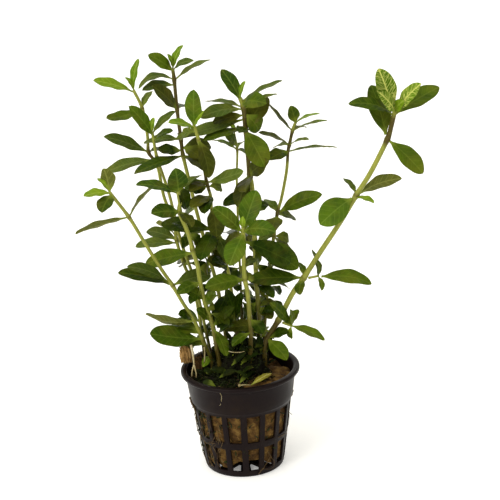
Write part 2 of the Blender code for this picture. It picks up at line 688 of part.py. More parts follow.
def build_stem(stem, collection, pockets):
    """One stem with its small leaves grown on it, and its full-grown leaves as their own pieces."""
    name = stem.name if stem.is_shoot else stem.name + "_stem"
    body = stem_tube(name, stem, 0.0, collection)
    if not stem.is_shoot:
        hide_helper(stem_tube(name + "_pocket", stem, GAP, pockets))
    body.data.materials.append(finish(name, 0.21, 0.24, 0.05, 0.45))
    grown_on = helper_collection(name + "_small_leaves")
    own_count = 0
    for i, leaf in enumerate(stem.leaves):
        start, tip = leaf_start(stem, leaf, GAP)
        if (tip - start).length >= OWN_LEAF_LENGTH:
            own_count += 1
            blade = leaf_blade(f"{stem.name}_leaf_{own_count}", leaf, start, tip, OWN_LEAF_STEPS, collection)
            blade.data.materials.append(finish(blade.name, 0.045, 0.09, 0.012, 0.4))
            continue
        start = stem_point(stem, leaf.height)[0]
        hide_helper(leaf_blade(f"{stem.name}_small_leaf_{i}", leaf, start, tip, SMALL_LEAF_STEPS, grown_on))
    boolean(body, "UNION", grown_on)


def build_fallen_leaf(collection):
    """The dead leaf on the rock wool, just inside the front rim."""
    leaf = Leaf(0.0, (0.0, 0.0), 0.0, 3.4, 2.6, 0.6)
    base, tip = (Vector(end) for end in FALLEN_LEAF_ENDS)
    blade = leaf_blade("fallen_leaf", leaf, base, tip, OWN_LEAF_STEPS, collection)
    blade.data.materials.append(finish("dead_yellow_leaf", 0.45, 0.36, 0.06, 0.6))


def main():
    for obj in list(bpy.data.objects):
        bpy.data.objects.remove(obj, do_unlink=True)
    collection = bpy.data.collections.new(OBJECT_NAME)
    bpy.context.scene.collection.children.link(collection)
    pockets = helper_collection("stem_pockets")
    build_pot(collection, helper_collection("pot_openings"))
    for stem in STEMS:
        build_stem(stem, collection, pockets)
    build_plug(collection, pockets)
    build_mound(collection, pockets)
    build_fallen_leaf(collection)


main()
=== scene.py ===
"""Look of a potted dwarf hygrophila: a slotted net pot, rock wool, moss and eleven leafy stems.

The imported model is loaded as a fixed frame, and each of its pieces gets a finer mesh and a finish
here. Sizes are millimetres unless a name says metres. +Z is up, and the viewer stands at -Y.
"""

import logging
import math
import random
from collections.abc import Callable, Iterable, Sequence
from dataclasses import dataclass, field
from enum import Enum
from functools import partial
from itertools import starmap

import bmesh
import bpy
from bmesh.types import BMEdge, BMesh, BMFace, BMVert
from bpy.types import Material, Node, NodeSocket, NodeTree, Object
from mathutils import Matrix, Quaternion, Vector, noise

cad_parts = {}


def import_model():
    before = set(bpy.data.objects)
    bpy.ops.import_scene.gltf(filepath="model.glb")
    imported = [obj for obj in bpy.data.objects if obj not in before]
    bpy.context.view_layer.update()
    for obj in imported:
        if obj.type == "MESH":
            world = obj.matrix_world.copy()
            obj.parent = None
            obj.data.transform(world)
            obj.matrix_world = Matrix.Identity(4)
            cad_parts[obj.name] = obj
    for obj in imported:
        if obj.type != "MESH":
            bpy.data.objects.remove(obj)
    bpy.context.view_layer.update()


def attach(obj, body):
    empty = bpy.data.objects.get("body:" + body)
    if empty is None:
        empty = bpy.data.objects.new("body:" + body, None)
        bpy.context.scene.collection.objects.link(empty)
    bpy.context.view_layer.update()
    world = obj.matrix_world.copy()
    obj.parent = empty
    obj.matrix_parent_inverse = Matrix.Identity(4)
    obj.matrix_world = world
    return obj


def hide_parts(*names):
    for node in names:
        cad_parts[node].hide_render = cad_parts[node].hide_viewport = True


LOG = logging.getLogger("hygrophila")

Pair = tuple[float, float]
Triple = tuple[float, float, float]
Lump = tuple[Triple, Triple]

MM = 0.001
BODY = "root"
# Corners nearer to each other than this become one.
WELD = 0.001
# The viewer's eye, where the sight lines start that stems and leaves were read along.
EYE = Vector((7.3, -605.5, 304.2))
UP = Vector((0.0, 0.0, 1.0))
# How a leaf's side veins lie, for both its finish and its relief.
VEIN_SPACING = 2.7
VEIN_SLANT = 0.9

# Inputs of a Mix node that is set to colours, and its output.
FACTOR = 0
FIRST = 6
SECOND = 7
MIX_RESULT = 2


def linear(colour: str) -> tuple[float, float, float, float]:
    """Turn an sRGB colour such as "3d5221" into linear light.

    Args:
        colour: six hexadecimal digits.

    Returns:
        Red, green, blue and an alpha of one.
    """
    values = [int(colour[i : i + 2], 16) / 255 for i in (0, 2, 4)]
    red, green, blue = (v / 12.92 if v <= 0.04045 else ((v + 0.055) / 1.055) ** 2.4 for v in values)
    return red, green, blue, 1.0


def seen(x: float, z: float, depth: float) -> Vector:
    """Find the point that shows at (x, z) on the upright middle plane and lies behind it.

    Args:
        x: where it shows, to the right.
        z: where it shows, upwards.
        depth: how far behind the plane it lies, less than none towards the viewer.

    Returns:
        The point.
    """
    on_plane = Vector((x, 0.0, z))
    return on_plane + (on_plane - EYE) * (depth / -EYE.y)


def round_axis(radius: float, turn: float, z: float) -> Vector:
    """Find the point at a radius, a turn in radians and a height."""
    return Vector((radius * math.cos(turn), radius * math.sin(turn), z))


def scattered(chance: random.Random, low: float = -1, high: float = 1) -> Vector:
    """Draw a vector with x and y between minus one and one, and z between low and high."""
    return Vector((chance.uniform(-1, 1), chance.uniform(-1, 1), chance.uniform(low, high)))


def smooth_step(low: float, high: float, value: float) -> float:
    """Rise smoothly from none at low to one at high."""
    share = min(1.0, max(0.0, (value - low) / (high - low)))
    return share * share * (3 - 2 * share)


def feed(node: Node, inputs: dict[str | int, object] | Sequence[object]) -> None:
    """Set a node's inputs, by name or number or in their own order.

    Args:
        node: the node.
        inputs: for each input a value, a colour as six hexadecimal digits, the output that feeds
            it, or a node whose main output does.
    """
    for key, value in inputs.items() if isinstance(inputs, dict) else enumerate(inputs):
        if isinstance(value, str):
            value = linear(value)
        if isinstance(value, Node):
            value = value.outputs[MIX_RESULT if value.type == "MIX" else 0]
        if isinstance(value, NodeSocket):
            node.id_data.links.new(value, node.inputs[key])
        else:
            node.inputs[key].default_value = value


def add_node(
    tree: NodeTree,
    kind: str,
    inputs: dict[str | int, object] | Sequence[object] = (),
    **settings: object,
) -> Node:
    """Add a node with its settings, values and links.

    Args:
        tree: the material's node tree.
        kind: the node's type name, without the ShaderNode before it.
        inputs: what feed takes.
        settings: the node's own properties.

    Returns:
        The node.
    """
    node = tree.nodes.new("ShaderNode" + kind)
    for key, value in settings.items():
        setattr(node, key, value)
    feed(node, inputs)
    return node


def start_material(name: str) -> tuple[Material, Callable[..., Node]]:
    """Make an empty material.

    Args:
        name: the finish's own name.

    Returns:
        The material, and what adds a node to it.
    """
    material = bpy.data.materials.new(name)
    material.use_nodes = True
    return material, partial(add_node, material.node_tree)


def coat(
    material: Material, colour: object, roughness: object, specular: float, bump: object = None
) -> Material:
    """Finish a material by wiring its shader.

    Args:
        material: the material.
        colour: what feeds the base colour.
        roughness: what feeds the roughness.
        specular: how strongly the skin mirrors.
        bump: the relief, if it has one.

    Returns:
        The material.
    """
    looks = {"Base Color": colour, "Roughness": roughness, "Specular IOR Level": specular}
    feed(material.node_tree.nodes["Principled BSDF"], looks | ({"Normal": bump} if bump else {}))
    return material


class LeafKind(Enum):
    """The states of leaf on this plant.

    The deep and old kinds carry painted shade, and the grey one a painted sheen.
    """

    MATURE = "mature"
    LUSH = "lush"
    FRESH = "fresh"
    # Deep green, darkened with painted shade for leaves low in the bunch.
    DEEP = "deep"
    NETTED = "netted"
    BRONZED = "bronzed"
    # A paler, greyer green: partly the leaf's own tone, partly painted sheen.
    DUSTY = "dusty"
    DEAD = "dead"
    # Very dark: the old leaves' own colour, darkened with painted shade under the canopy.
    OLD = "old"


MATURE, LUSH, FRESH, DEEP, NETTED, BRONZED, DUSTY, DEAD, OLD = LeafKind


@dataclass(frozen=True)
class LeafSkin:
    """Leaf blade: a mottled, waxy skin with a pale midrib, slanting side veins and a fine net.

    It reads the blade attribute, which holds millimetres from the midrib and millimetres from the
    stem, and the tone attribute, which differs from leaf to leaf. Spacings and spots are in
    millimetres too. The eye gets a dull wax sheen, darker and browner patches, and a lighter stalk.
    """

    name: str
    light: str
    dark: str
    vein: str
    vein_strength: float = 0.25
    net_strength: float = 0.05
    roughness: float = 0.42
    ageing: float = 0.28
    relief: float = 0.35
    specular: float = 0.05
    aged: str = "685f1e"
    stalk: str = "7d8a30"
    midrib_edges: Pair = (0.12, 0.42)
    stalk_edges: Pair = (0.8, 4.0)
    net_edges: Pair = (7.0, 14.0)
    vein_wobble: float = 4.0
    net_cell: float = 1.1
    vein_shift: float = 0.3
    side_vein_edge: float = 0.11
    side_vein_share: float = 0.7
    net_cell_stretch: float = 0.4
    net_line: Pair = (0.02, 0.11)
    net_tip_share: float = 0.45
    mottle: float = 5.0
    tone_edges: Pair = (0.32, 1.1)
    patch: float = 8.0
    patch_edges: Pair = (0.46, 0.68)
    grain: float = 0.35
    groove: float = 0.12

    def build(self) -> Material:
        """Make the material.

        Returns:
            The material.
        """
        material, add = start_material(self.name)
        place = add("TexCoord").outputs["Object"]
        tone = add("Attribute", attribute_name="tone").outputs["Fac"]
        blade = add("Attribute", attribute_name="blade").outputs["Vector"]
        across, along, _ = add("SeparateXYZ", (blade,)).outputs
        aside = add("Math", (across,), operation="ABSOLUTE")
        midrib = add("MapRange", (aside, *self.midrib_edges, 1.0, 0.0))
        back = add("Math", (aside, -VEIN_SLANT, along), operation="MULTIPLY_ADD")
        phase = add("Math", (back, VEIN_SPACING), operation="DIVIDE")
        wobble = add("TexNoise", {"Vector": place, "Scale": 1 / (self.vein_wobble * MM)})
        shifted = add("Math", (wobble, self.vein_shift, phase), operation="MULTIPLY_ADD")
        saw = add("Math", (shifted, 0.5), operation="PINGPONG")
        side_veins = add("MapRange", (saw, 0.0, self.side_vein_edge, self.side_vein_share, 0.0))
        veins = add("Math", (midrib, side_veins), operation="MAXIMUM")
        along_veins = add("CombineXYZ", (across, back, tone))
        cell = (self.net_cell_stretch / self.net_cell, 1 / self.net_cell, 9.0)
        drawn_out = add("Mapping", {0: along_veins, "Scale": cell})
        cells = add("TexVoronoi", {"Vector": drawn_out, "Scale": 1.0}, feature="DISTANCE_TO_EDGE")
        net = add("MapRange", (cells, *self.net_line, 1.0, 0.0))
        mottle = 1 / (self.mottle * MM)
        blotches = add("TexNoise", {"Vector": place, "Scale": mottle, "Detail": 4.0})
        blend = add("Math", (blotches, 0.9, tone), operation="MULTIPLY_ADD")
        share = add("MapRange", (blend, *self.tone_edges))
        colour = add("Mix", {FACTOR: share, FIRST: self.dark, SECOND: self.light}, data_type="RGBA")
        patches = add("TexNoise", {"Vector": place, "Scale": 1 / (self.patch * MM), "Detail": 3.0})
        aged = add("MapRange", (patches, *self.patch_edges, 0.0, self.ageing))
        vein_share = add("Math", (veins, self.vein_strength), operation="MULTIPLY")
        net_at_tip = self.net_tip_share * self.net_strength
        fade = add("MapRange", (along, *self.net_edges, self.net_strength, net_at_tip))
        net_share = add("Math", (net, fade), operation="MULTIPLY")
        stalk = add("MapRange", (along, *self.stalk_edges, 0.75, 0.0))
        tints = (self.aged, self.vein, self.vein, self.stalk)
        for amount, tint in zip((aged, vein_share, net_share, stalk), tints):
            colour = add("Mix", {FACTOR: amount, FIRST: colour, SECOND: tint}, data_type="RGBA")
        grain = add("TexNoise", {"Vector": place, "Scale": 1 / (self.grain * MM), "Detail": 2.0})
        height = add("Math", (veins, -1.0, grain), operation="MULTIPLY_ADD")
        raised = {"Strength": self.relief, "Distance": self.groove * MM, "Height": height}
        bump = add("Bump", raised)
        gloss = add("MapRange", (blotches, 0.3, 0.7, self.roughness - 0.08, self.roughness + 0.1))
        return coat(material, colour, gloss, self.specular, bump)


@dataclass(frozen=True)
class StemSkin:
    """Green stem: a fleshy skin, streaked lengthways, that browns where its brown value is high.

    The brown value holds real browning at the joints and in browned lengths, and painted shade
    low on the stem and up the shaded middle of the bunch.
    """

    name: str = "fleshy_green_stem"
    light: str = "9f9f45"
    dark: str = "6b7328"
    # Olive brown: real browning at joints and in browned lengths, and also the painted shade low on
    # the stems.
    brown: str = "493f15"
    roughness: float = 0.4
    specular: float = 0.15
    streak: float = 0.7
    patch: float = 3.0

    def build(self) -> Material:
        """Make the material.

        Returns:
            The material.
        """
        material, add = start_material(self.name)
        place = add("TexCoord").outputs["Object"]
        brown = add("Attribute", attribute_name="brown").outputs["Fac"]
        drawn_out = add("Mapping", {0: place, "Scale": (1.0, 1.0, 0.12)})
        streak = 1 / (self.streak * MM)
        streaks = add("TexNoise", {"Vector": drawn_out, "Scale": streak, "Detail": 3.0})
        patches = add("TexNoise", {"Vector": place, "Scale": 1 / (self.patch * MM), "Detail": 3.0})
        skin = add("Mix", {FACTOR: streaks, FIRST: self.dark, SECOND: self.light}, data_type="RGBA")
        # Where the brown value is high the stem takes the brown colour, which on its lower, shaded
        # length is painted shade.
        uneven = add("Math", (patches, 0.6, brown), operation="MULTIPLY_ADD")
        browned = add("MapRange", (uneven, 0.5, 1.1))
        colour = add("Mix", {FACTOR: browned, FIRST: skin, SECOND: self.brown}, data_type="RGBA")
        bump = add("Bump", {"Strength": 0.35, "Distance": 0.1 * MM, "Height": streaks})
        return coat(material, colour, self.roughness, self.specular, bump)


@dataclass(frozen=True)
class MouldedPlastic:
    """Pot plastic: near black polypropylene with a satin skin, rubbed and stained in patches."""

    name: str = "black_polypropylene"
    colour: str = "130a0a"
    stain: str = "21170e"
    roughness: float = 0.36
    specular: float = 0.08
    patch: float = 9.0
    grain: float = 0.5

    def build(self) -> Material:
        """Make the material.

        Returns:
            The material.
        """
        material, add = start_material(self.name)
        place = add("TexCoord").outputs["Object"]
        spread = {"Scale": 1 / (self.patch * MM), "Detail": 6.0, "Roughness": 0.65}
        patches = add("TexNoise", {"Vector": place, **spread})
        skin = add("TexNoise", {"Vector": place, "Scale": 1 / (self.grain * MM), "Detail": 3.0})
        stained = add("MapRange", (patches, 0.5, 0.75, 0.0, 0.7))
        mixed = {FACTOR: stained, FIRST: self.colour, SECOND: self.stain}
        colour = add("Mix", mixed, data_type="RGBA")
        gloss = add("MapRange", (patches, 0.3, 0.7, self.roughness - 0.06, self.roughness + 0.14))
        bump = add("Bump", {"Strength": 0.15, "Distance": 0.08 * MM, "Height": skin})
        return coat(material, colour, gloss, self.specular, bump)


@dataclass(frozen=True)
class FibreSkin:
    """Matted fibre, such as wet rock wool or moss: three tones in clumps over a coarse nap."""

    name: str
    light: str
    middle: str
    dark: str
    clump: float = 3.0
    nap: float = 0.5
    drawn: float = 1.0
    relief: float = 0.8
    roughness: float = 0.9
    specular: float = 0.12

    def build(self) -> Material:
        """Make the material.

        Returns:
            The material.
        """
        material, add = start_material(self.name)
        place = add("TexCoord").outputs["Object"]
        drawn_out = add("Mapping", {0: place, "Scale": (1.0, 1.0, 1 / self.drawn)})
        coarse = {"Scale": 1 / (self.clump * MM), "Detail": 6.0, "Roughness": 0.6}
        fine = {"Scale": 1 / (self.nap * MM), "Detail": 4.0, "Roughness": 0.7}
        clumps = add("TexNoise", {"Vector": drawn_out, **coarse})
        nap = add("TexNoise", {"Vector": drawn_out, **fine})
        tones = add("ValToRGB", (clumps,))
        ramp = tones.color_ramp
        ramp.elements[0].position, ramp.elements[1].position = 0.32, 0.68
        ramp.elements.new(0.5)
        for stop, tone in zip(ramp.elements, (self.dark, self.middle, self.light)):
            stop.color = linear(tone)
        speckled = add("MapRange", (nap, 0.35, 0.65, 0.6, 0.0))
        colour = add("Mix", {FACTOR: speckled, FIRST: tones, SECOND: self.dark}, data_type="RGBA")
        bump = add("Bump", {"Strength": self.relief, "Distance": 0.3 * MM, "Height": nap})
        return coat(material, colour, self.roughness, self.specular, bump)


@dataclass(frozen=True)
class SweepPaper:
    """Backdrop paper: matt white with a faint mottle of its pulp, lit a little from beneath."""

    name: str = "white_backdrop_paper"
    light: str = "fbfbf9"
    dark: str = "f4f4f2"
    glow: float = 0.22
    roughness: float = 0.9
    specular: float = 0.1
    pulp: float = 8.0

    def build(self) -> Material:
        """Make the material.

        Returns:
            The material.
        """
        material, add = start_material(self.name)
        place = add("TexCoord").outputs["Object"]
        pulp = add("TexNoise", {"Vector": place, "Scale": 1 / (self.pulp * MM)})
        colour = add("Mix", {FACTOR: pulp, FIRST: self.dark, SECOND: self.light}, data_type="RGBA")
        lit = {"Emission Color": self.light, "Emission Strength": self.glow}
        feed(material.node_tree.nodes["Principled BSDF"], lit)
        return coat(material, colour, self.roughness, self.specular)


@dataclass
class Patch:
    """A mesh in the making, with the finishes that its faces wear and the values that they read."""

    shape: BMesh = field(default_factory=bmesh.new)
    finishes: list[Material] = field(default_factory=list)

    def __post_init__(self) -> None:
        """Add the attributes that leaf and stem finishes read."""
        self.shape.verts.layers.float_vector.new("blade")
        self.shape.verts.layers.float.new("tone")
        # The stem's brown value: real browning, and painted shade low down.
        self.shape.verts.layers.float.new("brown")

    def part(self) -> "Patch":
        """Start a small mesh that shares this one's finishes, for take to add when it is done."""
        return Patch(finishes=self.finishes)

    def ball(
        self,
        finish: Material,
        subdivisions: int,
        radius: float = 1.0,
        centre: Sequence[float] = (0, 0, 0),
    ) -> list[BMVert]:
        """Add a ball.

        Args:
            finish: what its faces wear.
            subdivisions: how fine it is.
            radius: its radius.
            centre: its middle.

        Returns:
            Its vertices, for the caller to shape.
        """
        matrix = Matrix.Translation(centre)
        verts = bmesh.ops.create_icosphere(
            self.shape, subdivisions=subdivisions, radius=radius, matrix=matrix
        )["verts"]
        self.dress({face for vert in verts for face in vert.link_faces}, finish)
        return verts

    def take(self, part: "Patch") -> None:
        """Add a part's mesh to this one.

        Args:
            part: the part, which is used up.
        """
        mesh = bpy.data.meshes.new("part")
        part.shape.to_mesh(mesh)
        part.shape.free()
        self.shape.from_mesh(mesh)
        bpy.data.meshes.remove(mesh)

    def slot_of(self, finish: Material) -> int:
        """Give the slot of a finish, which gets one on its first use.

        Args:
            finish: the finish.

        Returns:
            The slot's number.
        """
        if finish not in self.finishes:
            self.finishes.append(finish)
        return self.finishes.index(finish)

    def dress(self, faces: Iterable[BMFace], finish: Material) -> None:
        """Give faces a finish and smooth shading.

        Args:
            faces: the faces.
            finish: what they wear.
        """
        slot = self.slot_of(finish)
        for face in faces:
            face.material_index = slot
            face.smooth = True

    def lathe(self, profile: Sequence[Pair], steps: int, finish: Material) -> None:
        """Start an empty mesh by spinning a line of (radius, height) points round the upright axis.

        Args:
            profile: the points, the first and last on the axis.
            steps: how many steps the full turn has.
            finish: what the faces wear.
        """
        shape = self.shape
        verts = [shape.verts.new((radius, 0.0, z)) for radius, z in profile]
        edges = [shape.edges.new(pair) for pair in zip(verts, verts[1:])]
        spin = {"cent": (0, 0, 0), "axis": UP, "angle": math.tau, "steps": steps, "use_merge": True}
        bmesh.ops.spin(shape, geom=verts + edges, **spin)
        bmesh.ops.remove_doubles(shape, verts=shape.verts, dist=WELD)
        bmesh.ops.recalc_face_normals(shape, faces=shape.faces)
        self.dress(shape.faces, finish)

    def sweep(
        self,
        points: Sequence[Vector],
        radii: Sequence[float],
        finish: Material,
        sides: int = 6,
        flatness: float = 1.0,
        squareness: float = 0.0,
        browns: Sequence[float] = (),
    ) -> None:
        """Draw a closed tube through points by extruding a ring along them.

        Args:
            points: the middle line.
            radii: the radius at each point.
            finish: what the faces wear.
            sides: how many sides the ring has.
            flatness: the ring's height as a share of its width.
            squareness: how far the ring leans towards a rounded square.
            browns: the brown value at each point, real browning and painted shade alike, or none
                for
            bare skin.
        """
        tube = self.part()
        shape = tube.shape
        brown = shape.verts.layers.float["brown"]
        ring = bmesh.ops.create_circle(shape, cap_ends=True, radius=1.0, segments=sides)["verts"]
        for vert in ring:
            corner = 1 + squareness * math.cos(4 * math.atan2(vert.co.y, vert.co.x))
            vert.co = Vector((vert.co.x * corner, vert.co.y * corner * flatness, 0.0))
        edges = shape.edges[:]
        last = Matrix.Identity(4)
        turn = Quaternion()
        heading = UP.copy()
        for i, (point, radius) in enumerate(zip(points, radii)):
            ahead = points[min(i + 1, len(points) - 1)] - points[max(i - 1, 0)]
            if ahead.length > WELD:
                turn = heading.rotation_difference(ahead.normalized()) @ turn
                heading = ahead.normalized()
            frame = Matrix.LocRotScale(point, turn, Vector((radius, radius, radius)))
            if i > 0:
                grown = bmesh.ops.extrude_edge_only(shape, edges=edges)["geom"]
                ring = [part for part in grown if isinstance(part, BMVert)]
                risen = [part for part in grown if isinstance(part, BMEdge)]
                edges = [edge for edge in risen if all(vert in ring for vert in edge.verts)]
            bmesh.ops.transform(shape, matrix=frame @ last.inverted(), verts=ring)
            last = frame
            if browns:
                for vert in ring:
                    vert[brown] = browns[i]
        bmesh.ops.contextual_create(shape, geom=edges)
        bmesh.ops.recalc_face_normals(shape, faces=shape.faces)
        tube.dress(shape.faces, finish)
        self.take(tube)

    def piece(self, name: str, slot: str, *nodes: str) -> Object:
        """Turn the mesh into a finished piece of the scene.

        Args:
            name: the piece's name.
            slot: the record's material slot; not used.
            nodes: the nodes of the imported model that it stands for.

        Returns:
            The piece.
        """
        bmesh.ops.scale(self.shape, vec=(MM, MM, MM), verts=self.shape.verts)
        mesh = bpy.data.meshes.new(name)
        self.shape.to_mesh(mesh)
        self.shape.free()
        for finish in self.finishes:
            mesh.materials.append(finish)
        piece = bpy.data.objects.new(name, mesh)
        bpy.context.scene.collection.objects.link(piece)
        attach(piece, BODY)
        if nodes:
            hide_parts(*nodes)
        LOG.info("%s: %d faces", name, len(mesh.polygons))
        return piece


@dataclass(frozen=True)
class Leaf:
    """One leaf: the height on its stem, its tip (x, z) as seen, and its real and shown width.

    near is how far the tip comes towards the viewer from the base. shown is the width as seen, and
    it is negative where the underside is what shows. kind is left out where the height on the stem
    gives it, and arch is how far the blade bulges at its middle.
    """

    height: float
    x: float
    z: float
    near: float
    width: float
    shown: float
    kind: LeafKind | None = None
    arch: float = 1.0


@dataclass(frozen=True)
class BladeForm:
    """How leaf blades are shaped: their outline, fold, relief and fineness."""

    petiole_share: float = 0.05
    petiole_width: float = 0.15
    widest_at: float = 0.54
    base_taper: float = 1.15
    tip_squareness: float = 2.25
    tip_fullness: float = 0.66
    fold: float = 0.2
    rise_between_veins: float = 0.11
    margin_wave: float = 0.22
    waves: float = 2.6
    fully_waved_width: float = 6.0
    thickness: float = 0.34
    petiole_thickness: float = 0.75
    twist: float = math.radians(9)
    tone_spread: float = 0.25
    margin_weld: float = 0.01

    def outline(self, share: float) -> float:
        """Give the half width along the leaf as a share of the widest.

        Args:
            share: how far along the leaf, from stem to tip.

        Returns:
            A narrow stalk, a full middle and a blunt tip.
        """
        if share < self.petiole_share:
            return self.petiole_width
        if share < self.widest_at:
            grown = (share - self.petiole_share) / (self.widest_at - self.petiole_share)
            swell = math.sin(math.pi / 2 * grown) ** self.base_taper
            return self.petiole_width + (1 - self.petiole_width) * swell
        beyond = (share - self.widest_at) / (1 - self.widest_at)
        return max(0.0, 1 - beyond**self.tip_squareness) ** self.tip_fullness

    def grow(
        self,
        patch: Patch,
        leaf: Leaf,
        base: Vector,
        tip: Vector,
        skins: tuple[Material, Material],
        fineness: tuple[int, int],
        chance: random.Random,
    ) -> None:
        """Add one leaf to a patch: an upper and a lower face that meet at the margin.

        Args:
            patch: the mesh in the making.
            leaf: the leaf's sizes.
            base: where its stalk starts.
            tip: where it ends.
            skins: the finishes of the upper and the lower face.
            fineness: how many steps it has across and along.
            chance: the source of small differences between leaves.
        """
        along = (tip - base).normalized()
        length = (tip - base).length
        to_eye = (EYE - base).normalized()
        toward = (to_eye - to_eye.dot(along) * along).normalized()
        upward = along.cross(toward)
        if upward.z < 0:
            upward.negate()
        turn = math.asin(max(-1.0, min(1.0, leaf.shown / leaf.width)))
        face_normal = upward * math.cos(turn) + toward * math.sin(turn)
        side = along.cross(face_normal)
        twist = chance.uniform(-self.twist, self.twist)
        tone = chance.uniform(-self.tone_spread, self.tone_spread)
        phases = chance.uniform(0, math.tau), chance.uniform(0, math.tau)
        part = patch.part()
        shape = part.shape
        place, tone_of = shape.verts.layers.float_vector["blade"], shape.verts.layers.float["tone"]
        waviness = min(1.0, leaf.width / self.fully_waved_width)
        bmesh.ops.create_grid(shape, x_segments=fineness[0], y_segments=fineness[1], size=1.0)
        upper_faces = shape.faces[:]
        made = bmesh.ops.duplicate(shape, geom=[*shape.verts, *shape.edges, *upper_faces])
        lower_faces = [other for other in made["geom"] if isinstance(other, BMFace)]
        lower = {vert for face in lower_faces for vert in face.verts}
        rim = [vert for vert in shape.verts if vert.is_boundary]
        for vert in shape.verts:
            across, share = vert.co.x, (vert.co.y + 1) / 2
            half = leaf.width / 2 * self.outline(share)
            on_blade = smooth_step(self.petiole_share, 4 * self.petiole_share, share)
            depth = self.petiole_thickness + (self.thickness - self.petiole_thickness) * on_blade
            aside = across * half
            phase = (length * share - abs(aside) * VEIN_SLANT) / VEIN_SPACING
            lift = 4 * leaf.arch * share * (1 - share) + self.fold * abs(aside)
            rise = self.rise_between_veins * math.cos(math.tau * phase)
            lift -= rise * on_blade * (1 - abs(across))
            wave = math.sin(self.waves * math.tau * share + phases[across > 0])
            lift += self.margin_wave * wave * across**2 * on_blade * waviness
            lift += (-1 if vert in lower else 1) * depth / 2 * (1 - across**2) * (1 - share**8)
            angle = twist * 2 * (share - 0.5)
            local_side = side * math.cos(angle) + face_normal * math.sin(angle)
            local_up = face_normal * math.cos(angle) - side * math.sin(angle)
            vert.co = base.lerp(tip, share) + local_side * aside + local_up * lift
            vert[place] = Vector((aside, length * share, 0.0))
            vert[tone_of] = tone
        bmesh.ops.reverse_faces(shape, faces=lower_faces)
        part.dress(upper_faces, skins[0])
        part.dress(lower_faces, skins[1])
        bmesh.ops.remove_doubles(shape, verts=rim, dist=self.margin_weld)
        for edge in shape.edges:
            edge.smooth = len({face.material_index for face in edge.link_faces}) < 2
        patch.take(part)


